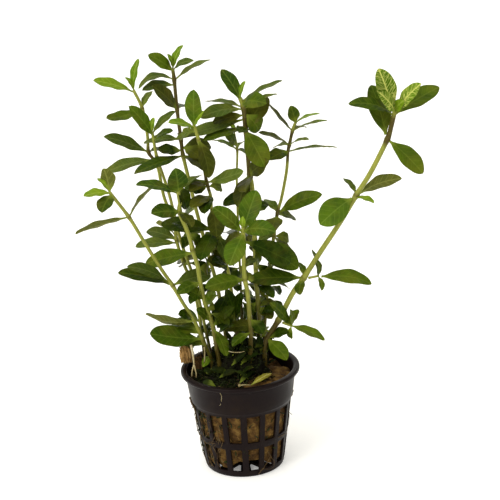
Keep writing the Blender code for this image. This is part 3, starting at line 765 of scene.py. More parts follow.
@dataclass(frozen=True)
class Stem:
    """One stem: its route as seen, from the tip down, its swollen joints, and its browned lengths.

    leaves and inner hold a leaf's values in each row. Those in leaves get a piece of their own
    where they are long enough, and those in inner fill the bunch. undergrowth counts the small dark
    leaves at the foot. From shaded_to down the stem takes its brown colour, as painted shade over
    the real browning at its foot.
    """

    name: str
    thickness: float
    tip_depth: float
    root_depth: float
    route: tuple[Pair, ...]
    joints: tuple[float, ...]
    leaves: tuple[tuple, ...]
    inner: tuple[tuple, ...] = ()
    undergrowth: int = 0
    # Painted shade, in the stem's brown colour, reaches up to this height.
    shaded_to: float = 74.0
    browned: tuple[Pair, ...] = ()

    ROOT_Z = 37.0
    SWELLING = 0.34
    SWELLING_LENGTH = 1.3
    BROWN_LENGTH = 1.1
    JOINT_BROWN = 0.6
    BROWNED = 0.8
    BROWNED_EDGE = 4.0
    # The foot's brown: real browning up to FOOT_TOP, carried on above it as painted shade that
    # fades out by shaded_to.
    FOOT_BROWN_AND_SHADE = 0.9
    FOOT_TOP = 49.0
    TIP_THINNING = 0.85
    STEP = 1.6
    SIDES = 12
    SQUARENESS = 0.05
    OWN_LEAF_LENGTH = 16.6
    CLEARANCE = 0.3
    SUNK = -0.5
    PETIOLE_WIDTH = 0.14
    LEAST_SINE_SQUARED = 0.25
    FRESH_LENGTH = 12.0
    TIP_LENGTH = 4.0
    # Below this height, leaves that the table gives no kind get painted shade, as the deep kind.
    PAINTED_SHADE_HEIGHT = 112.0
    UNDERGROWTH_HEIGHTS = (58.0, 112.0)
    UNDERGROWTH_WIDTHS = (4.5, 7.0)
    UNDERGROWTH_SHOWN = (0.35, 0.9)
    UNDERGROWTH_ASIDE = (-10, 10)
    UNDERGROWTH_RISE = (-7, 8)
    UNDERGROWTH_NEAR = (-10, 6)
    UNDERGROWTH_ARCH = (0.5, 2.0)
    # The deep kind here carries painted shade, and the grey kind a painted sheen.
    UNDERGROWTH_KINDS = (DEEP, DEEP, BRONZED, DUSTY, MATURE)
    # Steps across and along a blade.
    OWN_FINENESS = (12, 44)
    INNER_FINENESS = (10, 30)
    SMALL_FINENESS = (8, 24)
    UNDERGROWTH_FINENESS = (6, 18)

    @property
    def is_shoot(self) -> bool:
        """Tell whether this is a side shoot, which grows from a stem and has no root."""
        return self.name.endswith("shoot")

    @property
    def node(self) -> str:
        """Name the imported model's node of this stem."""
        return self.name if self.is_shoot else self.name + "_stem"

    def depth_at(self, z: float) -> float:
        """Give the stem's depth where it shows at a height.

        Args:
            z: the height as seen.

        Returns:
            How far behind the middle plane it lies.
        """
        top, foot = self.route[0][1], self.route[-1][1]
        share = (top - z) / (top - foot)
        return self.tip_depth + share * (self.root_depth - self.tip_depth)

    def radius_at(self, z: float) -> float:
        """Give the stem's radius at a height, thinner towards the tip and swollen at the joints.

        Args:
            z: the height as seen.

        Returns:
            The radius.
        """
        top, foot = self.route[0][1], self.route[-1][1]
        share = (z - foot) / (top - foot)
        swelling = sum(math.exp(-(((z - at) / self.SWELLING_LENGTH) ** 2)) for at in self.joints)
        thinned = self.thickness / 2 * (1 + share * (self.TIP_THINNING - 1))
        return thinned * (1 + self.SWELLING * swelling)

    def brown_and_shade_at(self, z: float) -> float:
        """Give how brown the stem is at a height: real browning at its foot, joints and browned
        lengths, and painted shade that fades out from the foot up to shaded_to.

        Args:
            z: the height as seen.

        Returns:
            None for green, up to one for brown.
        """
        foot = 0.0 if self.is_shoot else self.FOOT_BROWN_AND_SHADE
        # The foot's browning, and above it painted shade that fades out by shaded_to.
        browns = [foot * (1 - smooth_step(self.FOOT_TOP, self.shaded_to, z))]
        for at in self.joints:
            browns.append(self.JOINT_BROWN * math.exp(-(((z - at) / self.BROWN_LENGTH) ** 2)))
        for low, high in self.browned:
            left = 1 - smooth_step(high, high + self.BROWNED_EDGE, z)
            browns.append(self.BROWNED * smooth_step(low - self.BROWNED_EDGE, low, z) * left)
        return max(browns)

    def point(self, z: float) -> tuple[Vector, Vector]:
        """Find where the stem's middle line shows at a height.

        Args:
            z: the height as seen.

        Returns:
            The point, and the stem's direction there.
        """
        for upper, lower in zip(self.route, self.route[1:]):
            if z >= lower[1]:
                break
        share = (upper[1] - z) / (upper[1] - lower[1])
        x = upper[0] + share * (lower[0] - upper[0])
        ahead = seen(*upper, self.depth_at(upper[1])) - seen(*lower, self.depth_at(lower[1]))
        return seen(x, z, self.depth_at(z)), ahead.normalized()

    def line(self) -> list[Pair]:
        """Round the route's corners with a curve through its points, in small steps.

        Returns:
            The points (x, z) as seen, from the tip down.
        """
        ends = (
            tuple(2 * a - b for a, b in zip(self.route[0], self.route[1])),
            *self.route,
            tuple(2 * a - b for a, b in zip(self.route[-1], self.route[-2])),
        )
        points = []
        for four in zip(ends, ends[1:], ends[2:], ends[3:]):
            steps = max(2, round(math.dist(four[1], four[2]) / self.STEP))
            for i in range(steps):
                points.append(tuple(self.curve(i / steps, *way) for way in zip(*four)))
        return [*points, self.route[-1]]

    @staticmethod
    def curve(t: float, a: float, b: float, c: float, d: float) -> float:
        """Give the value at share t from b to c on the smooth curve through a, b, c and d."""
        curved = (2 * a - 5 * b + 4 * c - d) * t**2 + (3 * b - a - 3 * c + d) * t**3
        return 0.5 * (2 * b + (c - a) * t + curved)

    def kind_of(self, leaf: Leaf, length: float) -> LeafKind:
        """Choose a leaf's kind from its length and height where the table gives none.

        Low leaves get the deep kind, whose nearly black green is painted shade.

        Args:
            leaf: the leaf.
            length: how long it is.

        Returns:
            Its kind.
        """
        if leaf.kind:
            return leaf.kind
        if length < self.FRESH_LENGTH and leaf.height > self.route[0][1] - self.TIP_LENGTH:
            return FRESH
        # Low leaves get painted shade: the deep kind's nearly black green.
        return DEEP if leaf.height < self.PAINTED_SHADE_HEIGHT else MATURE

    def start_of(self, leaf: Leaf, clearance: float) -> tuple[Vector, Vector]:
        """Find where a leaf's stalk starts.

        Args:
            leaf: the leaf.
            clearance: its gap to the stem's skin, or less than none to start inside it.

        Returns:
            The start and the leaf's tip.
        """
        joint, up = self.point(leaf.height)
        tip = seen(leaf.x, leaf.z, self.depth_at(leaf.height) - leaf.near)
        along = (tip - joint).normalized()
        slant = abs(along.dot(up))
        reach = self.radius_at(leaf.height) + clearance
        reach += self.PETIOLE_WIDTH / 2 * leaf.width * slant
        sine = math.sqrt(max(self.LEAST_SINE_SQUARED, 1 - slant * slant))
        return joint + along * (reach / sine), tip

    def build(self, form: BladeForm, skins: dict[LeafKind, tuple], bark: Material) -> None:
        """Build the stem with its small leaves, and each full-grown leaf as its own piece.

        Args:
            form: how blades are shaped.
            skins: the upper and lower finish of each kind of leaf.
            bark: the stem's finish.
        """
        chance = random.Random(self.name)
        patch = Patch()
        line = self.line()
        points = [seen(x, z, self.depth_at(z)) for x, z in line]
        radii = [self.radius_at(z) for _, z in line]
        browns = [self.brown_and_shade_at(z) for _, z in line]
        if not self.is_shoot:
            points.append(Vector((points[-1].x, points[-1].y, self.ROOT_Z)))
            radii.append(radii[-1])
            browns.append(1.0)
        patch.sweep(points, radii, bark, self.SIDES, squareness=self.SQUARENESS, browns=browns)
        count = 0
        for leaf in starmap(Leaf, self.leaves):
            clear, tip = self.start_of(leaf, self.CLEARANCE)
            length = (tip - clear).length
            skin = skins[self.kind_of(leaf, length)]
            base = self.start_of(leaf, self.SUNK * self.radius_at(leaf.height))[0]
            if length >= self.OWN_LEAF_LENGTH:
                count += 1
                own = Patch()
                form.grow(own, leaf, base, tip, skin, self.OWN_FINENESS, chance)
                own.piece(f"{self.name}_blade_{count}", "leaf", f"{self.name}_leaf_{count}")
                continue
            joint = self.point(leaf.height)[0]
            form.grow(patch, leaf, joint, tip, skin, self.SMALL_FINENESS, chance)
        for leaf in starmap(Leaf, self.inner):
            base, tip = self.start_of(leaf, self.SUNK * self.radius_at(leaf.height))
            skin = skins[self.kind_of(leaf, (tip - base).length)]
            form.grow(patch, leaf, base, tip, skin, self.INNER_FINENESS, chance)
        self.add_undergrowth(patch, form, skins, chance)
        patch.piece(f"{self.name}_growth", "stem", self.node)

    def add_undergrowth(
        self, patch: Patch, form: BladeForm, skins: dict[LeafKind, tuple], chance: random.Random
    ) -> None:
        """Crowd small dark leaves round the shaded foot of the stem.

        Many of them are of the deep kind, darkened with painted shade.

        Args:
            patch: the stem's mesh.
            form: how blades are shaped.
            skins: the upper and lower finish of each kind of leaf.
            chance: the source of their places and sizes.
        """
        low, high = self.UNDERGROWTH_HEIGHTS
        for i in range(self.undergrowth):
            height = low + (high - low) * (i + chance.random()) / self.undergrowth
            width = chance.uniform(*self.UNDERGROWTH_WIDTHS)
            x = self.point(height)[0].x + chance.uniform(*self.UNDERGROWTH_ASIDE)
            z = height + chance.uniform(*self.UNDERGROWTH_RISE)
            kind = chance.choice(self.UNDERGROWTH_KINDS)
            shown = width * chance.uniform(*self.UNDERGROWTH_SHOWN)
            near = chance.uniform(*self.UNDERGROWTH_NEAR)
            arch = chance.uniform(*self.UNDERGROWTH_ARCH)
            leaf = Leaf(height, x, z, near, width, shown, kind, arch)
            base, tip = self.start_of(leaf, self.SUNK * self.radius_at(height))
            form.grow(patch, leaf, base, tip, skins[kind], self.UNDERGROWTH_FINENESS, chance)


STEMS = (
    Stem(
        "front_left", 1.8, -15, 3,
        ((-53.7, 134.4), (-45.9, 122.3), (-40.3, 111.1), (-33.7, 98.1), (-28.6, 89), (-24.3, 80),
         (-20.2, 72.4), (-16.5, 62), (-12.7, 51.4)),
        (122.3, 89, 62),
        (
            (134.2, -55.4, 145.2, -3, 7.5, -6.5, DUSTY), (133, -57.8, 124.8, 9, 7.5, 6.5, MATURE),
            (133.6, -65.3, 132.8, 4, 6, 3.6), (134.2, -58.5, 140.8, -4, 3, 2),
            (122.3, -70.3, 115.6, -3, 8, -2.8, DUSTY, 0.5),
            (122.3, -32.5, 136.7, -8, 6.5, 1.7, BRONZED), (89, -52.8, 96.3, 5, 8, 5.5, MATURE, 1.5),
            (89, -11, 93.4, -11, 8.5, 7.2, DUSTY), (62, -40.6, 66, 8, 11.5, 9.5, LUSH, -1),
            (66, -31, 69, -11, 8, 6, DEEP, 3), (71, -41.8, 75.7, -14, 7.5, -4, DUSTY, -2.2),
        ),
        inner=(
            (64.6, -28.3, 68.4, -4, 6.5, 5, MATURE), (59.1, -25.6, 60.9, -2, 6.5, 5.2, MATURE),
            (72.5, -27, 74.9, 5, 5.5, 4), (89.7, -48.5, 99, 9, 7.5, 5, DUSTY, 2),
        ),
    ),
    Stem(
        "left_tall", 1.7, 21, 13,
        ((-39.6, 179.5), (-36.4, 171.2), (-35, 159.6), (-35.1, 151.6), (-33.6, 149), (-31.3, 143.9),
         (-29.6, 130.7), (-25.9, 119), (-25.4, 110.4), (-23, 99.5), (-18.9, 86.5), (-17, 70),
         (-16, 52)),
        (171.2, 151.6, 110.4),
        (
            (178.5, -56.7, 184.5, 4, 7, 4.3, FRESH, 0.8),
            (179.3, -36.3, 193.1, -4, 5.5, 3.3, FRESH), (179.3, -42.8, 185.3, 0, 3, 2),
            (171.2, -52.4, 167.6, 8, 6.5, 4.5, None, -1.5),
            (171.2, -31.4, 178.7, -6, 4.5, 3, DUSTY), (151.6, -54.3, 159.4, 8, 7.5, 5.5, DUSTY),
            (151.6, -26, 151.5, -12, 5, 2, DEEP), (148, -56.3, 142.1, -8, 7.5, 5.2, DUSTY, 2),
            (110.4, -38.5, 115.5, -8, 7.5, 5.6, DUSTY), (109, -44, 108.2, 6, 7.5, 4.6, DUSTY),
            (112, -34, 119, -14, 6, -2), (99.5, -22.5, 103.5, -18.5, 7.5, 3),
        ),
        inner=(
            (70.5, -26.5, 75.4, -4, 6.5, 5.5, MATURE),
        ),
        undergrowth=3,
        shaded_to=80,
        browned=((146, 153),),
    ),
    Stem(
        "left_inner", 1.5, 8, 9,
        ((-32.8, 160.7), (-31.6, 149.3), (-29.5, 141), (-27, 130.6), (-23.5, 110), (-18.5, 90),
         (-13, 54)),
        (149.3, 110),
        (
            (159, -42.3, 172.5, 6, 7, 6, LUSH), (159.8, -22.1, 169.3, -5, 5, 3.2, DUSTY),
            (157, -23.6, 160.7, 6, 4.5, 2.5, DEEP), (160.4, -31.5, 167, 2, 3, 2.5),
        ),
        inner=(
            (62.3, -15.9, 69, -4, 5.5, 4.5, DEEP), (110.2, -12.8, 114.9, -8, 6, 4, DUSTY),
            (99.6, -10.8, 94.4, -8, 6, 4.5), (54, -17.2, 48.2, 7, 3.8, 3.6, FRESH),
        ),
        undergrowth=5,
        shaded_to=84,
    ),
    Stem(
        "tallest", 1.8, 10, 9,
        ((-22.1, 188.1), (-21.7, 183), (-21.3, 170.2), (-20.5, 156.6), (-20, 149.2), (-18, 137.5),
         (-15.9, 125), (-12, 105), (-8, 85), (-5, 54)),
        (183, 170.2, 156.6, 149.2),
        (
            (187, -32.3, 194.5, 4, 6.5, 5.4, MATURE), (187.8, -17, 198, -3, 5, 3, FRESH),
            (187.8, -24, 194.5, 1, 3, 2), (186.6, -12.7, 190.9, 7, 4.5, 2.5, DUSTY, 2),
            (183, -5.4, 191.1, -7, 6, 2.2, DUSTY), (183, -37.4, 180, 4, 6, 3, DUSTY, 4),
            (170.2, -31.4, 180.9, 9, 7.5, 6, BRONZED), (170.2, -17, 171.5, -15, 7, 3, DEEP),
            (156.6, -36.9, 155.8, -7, 6.5, 3.7, DUSTY), (156.6, -16, 160, -16, 7, 3, DEEP),
            (149.2, -42.1, 141.8, 12, 7.5, 4.8, MATURE), (149.2, -9.6, 141.6, 6, 9, 5.2, BRONZED),
            (125, -21, 121, -15, 7.5, 4), (105, -6, 107, -14, 7, 3), (85, -14, 86, -12, 7, 4),
            (72, -12, 77, -10, 6, 3),
        ),
        inner=(
            (151.5, -30.8, 152.2, 4, 7, 4.8, DEEP, 0), (153.1, -12.6, 147.7, 3, 8, 6, BRONZED),
            (180.8, -35.9, 179, 3, 6.5, 4.2, DUSTY, 1.5),
            (102.6, -24.5, 99.9, -12, 6, 3.5, BRONZED), (98.7, -11.5, 97.8, -8, 7, 5, DUSTY),
            (71.7, 2.2, 64.5, 4, 6, 5, BRONZED), (152.6, -7.5, 152.8, -6, 8.5, 7, BRONZED),
            (109.9, -8.9, 104.3, -9, 7, 5.5), (96.4, -19.6, 91, -6, 6.5, 5),
        ),
        undergrowth=8,
        shaded_to=104,
        browned=((150, 186),),
    ),
    Stem(
        "left_rosette", 2.1, -14, -4,
        ((-23.4, 134.3), (-22.7, 127.4), (-23.2, 123.5), (-19.6, 112), (-18.5, 105.5),
         (-16.7, 97.8), (-15.8, 88.3), (-14.1, 78.6), (-11.4, 67.9), (-9.5, 50)),
        (123.5, 105.5),
        (
            (132, -41.7, 137, 6, 7, 4.2, LUSH, 1.5), (132.6, -23.8, 143.7, 7, 9, 8.8, LUSH),
            (133.9, -23.4, 141, 0, 3, 2.8), (132.6, -12, 140, -8, 6, 2.5, DUSTY),
            (123.5, -36, 123.3, 8, 7.8, 6.6, LUSH), (123.5, -18, 116, 12, 6, 4.5, BRONZED),
            (104, -40, 100, -13, 8.5, 7.5, MATURE), (80, -9.5, 85, 5, 4, 3, MATURE),
            (68, -1, 77, 4, 6.5, 5, DEEP), (62, -5.5, 53, 3, 5, 4, MATURE),
        ),
        inner=(
            (114.3, -15.4, 107.5, -4, 5.5, 4.5, DEEP), (137.6, -19.8, 124.6, -5, 6.5, 5.5, DEEP),
            (89.9, -26.8, 84.7, 6, 6, 5, MATURE), (86.1, -21.2, 79.5, 5, 5, 4),
            (68.2, -6.2, 53.1, 6, 6.5, 5, MATURE), (70.2, -18.6, 76.9, 4, 5.5, 4.5, MATURE),
            (81.1, -23.5, 86.9, 6, 6, 5, MATURE), (78.1, -9.1, 84.7, 6, 5, 4, DUSTY),
        ),
        undergrowth=6,
        shaded_to=92,
    ),
    Stem(
        "centre_left", 1.6, -4, 0,
        ((-14.5, 163), (-12.8, 156), (-11.6, 148.2), (-11.1, 143.6), (-10.3, 136.3), (-8.9, 129.7),
         (-8.9, 124.3), (-8, 114), (-5.4, 110), (-3.8, 98), (-2.5, 90), (0, 56)),
        (156, 136.3, 114),
        (
            (162, -13.4, 178.5, 5, 7.5, 7.3, LUSH), (161, -25.5, 164.5, 6, 5.5, 3, FRESH),
            (162, -9.5, 168.5, 5, 4, 2.5, FRESH), (156, -9.2, 138.4, 6, 9, 6.8, BRONZED),
            (136.3, 6.3, 140.5, 5, 7, 5.5, DUSTY, -0.5), (136.3, -17.9, 132.5, 10, 6, 4, BRONZED),
            (130, -18, 125, 11, 7, 5, BRONZED), (130, -12, 122, 13, 7, 5.5, DEEP),
            (124.3, -7.3, 110.5, 10, 8.5, 7.6, BRONZED), (114, -31.9, 118.2, 0, 8.5, 7, DEEP, 1.2),
            (114, -15.2, 100, 14, 9, 8, DEEP), (110, -14, 106, 8, 5, 3, DEEP),
            (98, -10, 99, 9, 6, 4), (90, -9, 87, -6, 7, 5), (72, -5, 86, 6, 6, 5),
            (70, 3, 84, 4, 6, 4),
        ),
        inner=(
            (60.5, 2.3, 65.5, -2, 6.5, 5, DEEP), (134.7, -3.7, 133, -3, 6, 4.6, DUSTY),
            (134.7, -16.2, 131.8, 2, 6, 4.6, DEEP), (114.9, -9.2, 106.7, -6, 7, 5, DUSTY),
            (111.1, -6.8, 100.9, -9, 6, 4.5, BRONZED), (61.7, -3.7, 55.9, 6, 5, 4),
            (113.6, -3.7, 100.2, 3, 7, 6, DUSTY), (96.9, -12.3, 100.2, 4, 6.5, 5.5, BRONZED),
            (85.3, -10.8, 70.2, 5, 7, 6), (74.5, -7.8, 66.1, 6, 7, 6),
            (159.9, -20.8, 157.1, -5, 6.5, 4, DUSTY), (137.5, -20.2, 132.5, 5, 7, 5.5, DUSTY),
        ),
        undergrowth=11,
        shaded_to=108,
        browned=((134, 148),),
    ),
    Stem(
        "back", 1.2, 20, 17,
        ((3, 158), (3.9, 150.6), (3.2, 140), (2.8, 129.1), (2.5, 110), (2, 60)),
        (150.6, 129.1),
        (
            (157.6, 1, 163, 0, 3, 2), (150.6, -6.8, 155.4, -4, 4.5, 1.8), (152, -1.5, 159, 6, 5, 4),
            (150.6, 7.4, 154, -6, 4, 1.5), (150.6, 7.9, 147.5, -9, 4, 1.5),
            (110, -3, 113, -14, 7, 4), (110, 9, 108, -12, 7, 4), (90, -4, 94, -10, 7, 4),
            (85, 7, 80, -9, 6, 4), (72, -5, 78, -8, 6, 4),
        ),
        inner=(
            (95.8, -6.9, 90.3, -6, 6, 4), (78.6, -9.6, 67.1, 4, 7, 5.5),
            (80, 8.8, 69.1, 4, 6.5, 5.5), (72.2, -1.5, 64.2, 3, 6, 5),
            (98.2, 2.5, 88.9, -3, 7, 5.5),
        ),
        undergrowth=11,
        shaded_to=128,
    ),
    Stem(
        "front_rosette", 2.2, -16, -5,
        ((4.8, 115), (4.2, 95.3), (4.3, 90.3), (5.2, 83.3), (5.6, 73), (5.8, 63.7), (5, 54)),
        (90.3,),
        (
            (113, 11.5, 131.8, -5, 9.5, 9.3, LUSH), (112, -8.1, 125, 6, 7.5, 7, LUSH),
            (112.5, 19.3, 111.8, 9, 8.5, 7, LUSH, 2.8), (111.5, -2.4, 96.9, 12, 9.5, 9, LUSH),
            (112, -4, 106, -11, 6.5, 4, BRONZED), (114.6, 5, 120, 3, 3, 2.8),
            (90.3, -13.9, 87, 6, 8.5, 7.5, MATURE),
        ),
        inner=(
            (64.4, -3.2, 57.9, 6, 5, 4, MATURE), (108.3, 25.5, 97.2, -8, 10, 9),
            (71.2, 11.3, 63, 5, 6.5, 5.5),
        ),
        undergrowth=3,
        shaded_to=104,
    ),
    Stem(
        "centre", 2.2, 4, 5,
        ((6.3, 173.6), (7.5, 169.5), (8, 159.8), (8.5, 146.7), (8.8, 139), (9.7, 131.8), (9.6, 108),
         (9.5, 88), (10, 70), (9, 54)),
        (169.5, 159.8, 139, 108, 88),
        (
            (172, -1.2, 186.6, -5, 7, 6, LUSH), (173.2, 9, 181, 5, 3, 2, FRESH),
            (172, 25.1, 180.3, -6, 6.5, 2, DUSTY, 0.6), (171, 17.8, 170.6, 11, 8.5, 6.6, None, 2),
            (159.8, 18.2, 173.8, -8, 9.5, 9, BRONZED), (168.5, 22.6, 174.5, 3, 5.5, 1.5, DUSTY),
            (168.5, -11.5, 165.9, 6, 7.5, 5.5, DUSTY, 2), (169.5, -9.2, 172.8, -9, 6.5, 2, DUSTY),
            (159.8, -11, 155.3, 6, 6.5, 4), (159.8, 5, 158, 13, 5.5, 4.5, DEEP),
            (158.8, 15.9, 142, 8, 10.6, 10.4), (139, 17.2, 145.2, 8, 8, 7.5, BRONZED),
            (138, 6.5, 131, 14, 8.5, 5.5, BRONZED), (139, 3, 124, 6, 8, 7, BRONZED),
            (108, 28.7, 94, 8, 11.5, 11, MATURE), (108, 4, 116, -13, 8, 4),
            (88, 17, 80.5, 12, 6, 4.5), (88, 24.6, 84.2, -4, 5, 1.8, BRONZED, 2),
            (74, 3, 82, -8, 6, 4), (74, 17, 74, 7, 6, 4),
        ),
        inner=(
            (61.4, -0.9, 67.2, -4, 6, 5, DEEP), (164.1, -22.6, 157.2, 4, 7.5, 5, DUSTY, 0),
            (167.7, 13.9, 158.5, -2, 9, 8, MATURE), (121.2, 16.4, 125.5, -3, 6, 5, DEEP),
            (129.8, -3.7, 125.6, 3, 7, 5.5, DEEP), (166, -6.2, 163, 3, 6.5, 5, BRONZED),
            (81.8, 13.6, 73.7, -8, 7, 4.5), (77.1, 11.1, 69, -9, 6, 4, BRONZED),
            (79.8, 3.9, 71.3, -4, 7, 6), (76.8, 15.8, 70.2, 6, 6.5, 5.5, BRONZED),
            (98, 14.8, 88.7, -8, 7, 5.5),
        ),
        undergrowth=12,
        shaded_to=118,
        browned=((140, 169),),
    ),
    Stem(
        "right_inner", 1.6, 14, 9,
        ((30.1, 161.8), (28.5, 157.8), (26.9, 151.5), (26.2, 148.7), (25.2, 139.8), (22.6, 128),
         (20.4, 120.8), (18.3, 110), (13.7, 79.5), (11, 54)),
        (157.8, 151.5, 120.8, 110),
        (
            (161.4, 28.2, 169.1, 2, 5.5, 5.4, MATURE), (161.4, 41.2, 164.8, -5, 4, 1.3, FRESH),
            (157.8, 18.7, 170.2, 5, 4.5, 1.7, BRONZED, -0.4), (157.8, 44, 161.6, 6, 4, 1, DUSTY),
            (157.8, 34.5, 159, -9, 4, 1.5, BRONZED), (151.5, 13.5, 157.8, 6, 5, 2, BRONZED),
            (151.5, 20, 150.5, -10, 4.5, 1.5, DUSTY), (151.5, 35.6, 153.5, 9, 4, 1.2, DUSTY),
            (148.7, 17.6, 145.2, 8, 7, 5.6, MATURE), (148.7, 47.8, 149.3, -5, 5, 1.2, DUSTY),
            (120.8, 40.7, 128.2, 6, 8, 7, None, 2.2), (120.8, 14.7, 127.2, -9, 6, 3.8, MATURE),
            (120, 28.5, 117, -9, 5.5, 3.2), (119, 17.4, 111.2, 12, 8.5, 7.8, BRONZED),
            (110, 28, 98.4, -8, 6.5, 4.8, BRONZED, -1), (94, 21, 99, -13, 7, 3),
        ),
        inner=(
            (78.7, 4.9, 72.2, -8, 6, 4), (79.5, 21.4, 72.8, -4, 6, 5),
            (70.9, 5.8, 63.8, 3, 6, 5, BRONZED), (97.5, 15.3, 91.1, 5, 6, 4.5, BRONZED),
        ),
        undergrowth=10,
        shaded_to=104,
        browned=((119, 121.5), (146, 156)),
    ),
    Stem(
        "right_leaning", 2.4, -6, -1,
        ((73.5, 164.4), (71.6, 156.9), (70, 151.9), (62.5, 137.5), (55.7, 127), (47.8, 114.3),
         (38.4, 100.6), (31, 89.4), (25.6, 82.1), (18.7, 69.5), (12.8, 60.4), (11.5, 54)),
        (151.9, 127, 89.4, 69.5),
        (
            (163.6, 66.6, 183.5, 4, 9, 8.7, NETTED), (163.4, 85.2, 175.9, 10.5, 7, 5.6, NETTED),
            (162.6, 93, 174.1, -5, 8.8, 7.6), (162.4, 53.3, 168.7, 5, 7, 5, None, 3.2),
            (164, 66.9, 172.9, 12, 6.5, 5.2, NETTED), (151.9, 63.3, 176.4, -8, 11, 9.8),
            (151.9, 85.6, 135.5, 7, 9, 7.9), (127, 39.1, 114.2, 8, 12, 11.4, LUSH, 1.8),
            (127, 76.2, 133.8, -5, 7.5, -5.8, None, 2.4), (127, 50, 135.2, -6, 4.5, 2.4, MATURE),
            (126, 63.6, 123, 6, 4.5, 2.2, FRESH), (89.4, 5.8, 89.5, 2, 9.5, 7.5, MATURE),
            (89.4, 28.6, 97, -5, 4.5, 3, MATURE), (88.4, 29, 81.3, 8, 5.2, 4.5, MATURE),
            (64, -6.5, 66, 2, 7, 5.5, BRONZED, 3.5),
        ),
        inner=(
            (163.4, 77.6, 169, 6, 5, 4, FRESH), (60.5, 23.3, 63.9, 2, 6, 4.5, DEEP),
            (60.9, 21.8, 49.6, 8, 7.5, 7, MATURE),
        ),
        browned=((50, 69), (151, 161)),
    ),
    Stem(
        "upper_side_shoot", 1.2, -3, -3,
        ((38, 90), (33, 89.2)),
        (),
        (
            (89.9, 61.7, 84.8, 3, 8, 6.4, MATURE, 2.6), (89.9, 37.2, 97.5, 8, 3.5, 2.5, MATURE),
            (89.9, 35, 103, -6, 3.5, 2, MATURE), (89.9, 38.9, 82.7, 4, 3.5, 2.6, MATURE),
        ),
    ),
    Stem(
        "lower_side_shoot", 1.2, -5, -2,
        ((24.7, 66.3), (20.6, 68.2)),
        (),
        (
            (66.4, 39.6, 58.5, 4, 6, 4.2, MATURE), (66.4, 28, 74.3, -3, 5, 3.8, MATURE),
            (66.4, 15.2, 78.2, 8, 6, 4.8, MATURE), (66.4, 24, 74.5, 4, 3.5, 2, MATURE),
            (66.4, 24, 60.2, -5, 3.5, 3, MATURE),
        ),
    ),
)


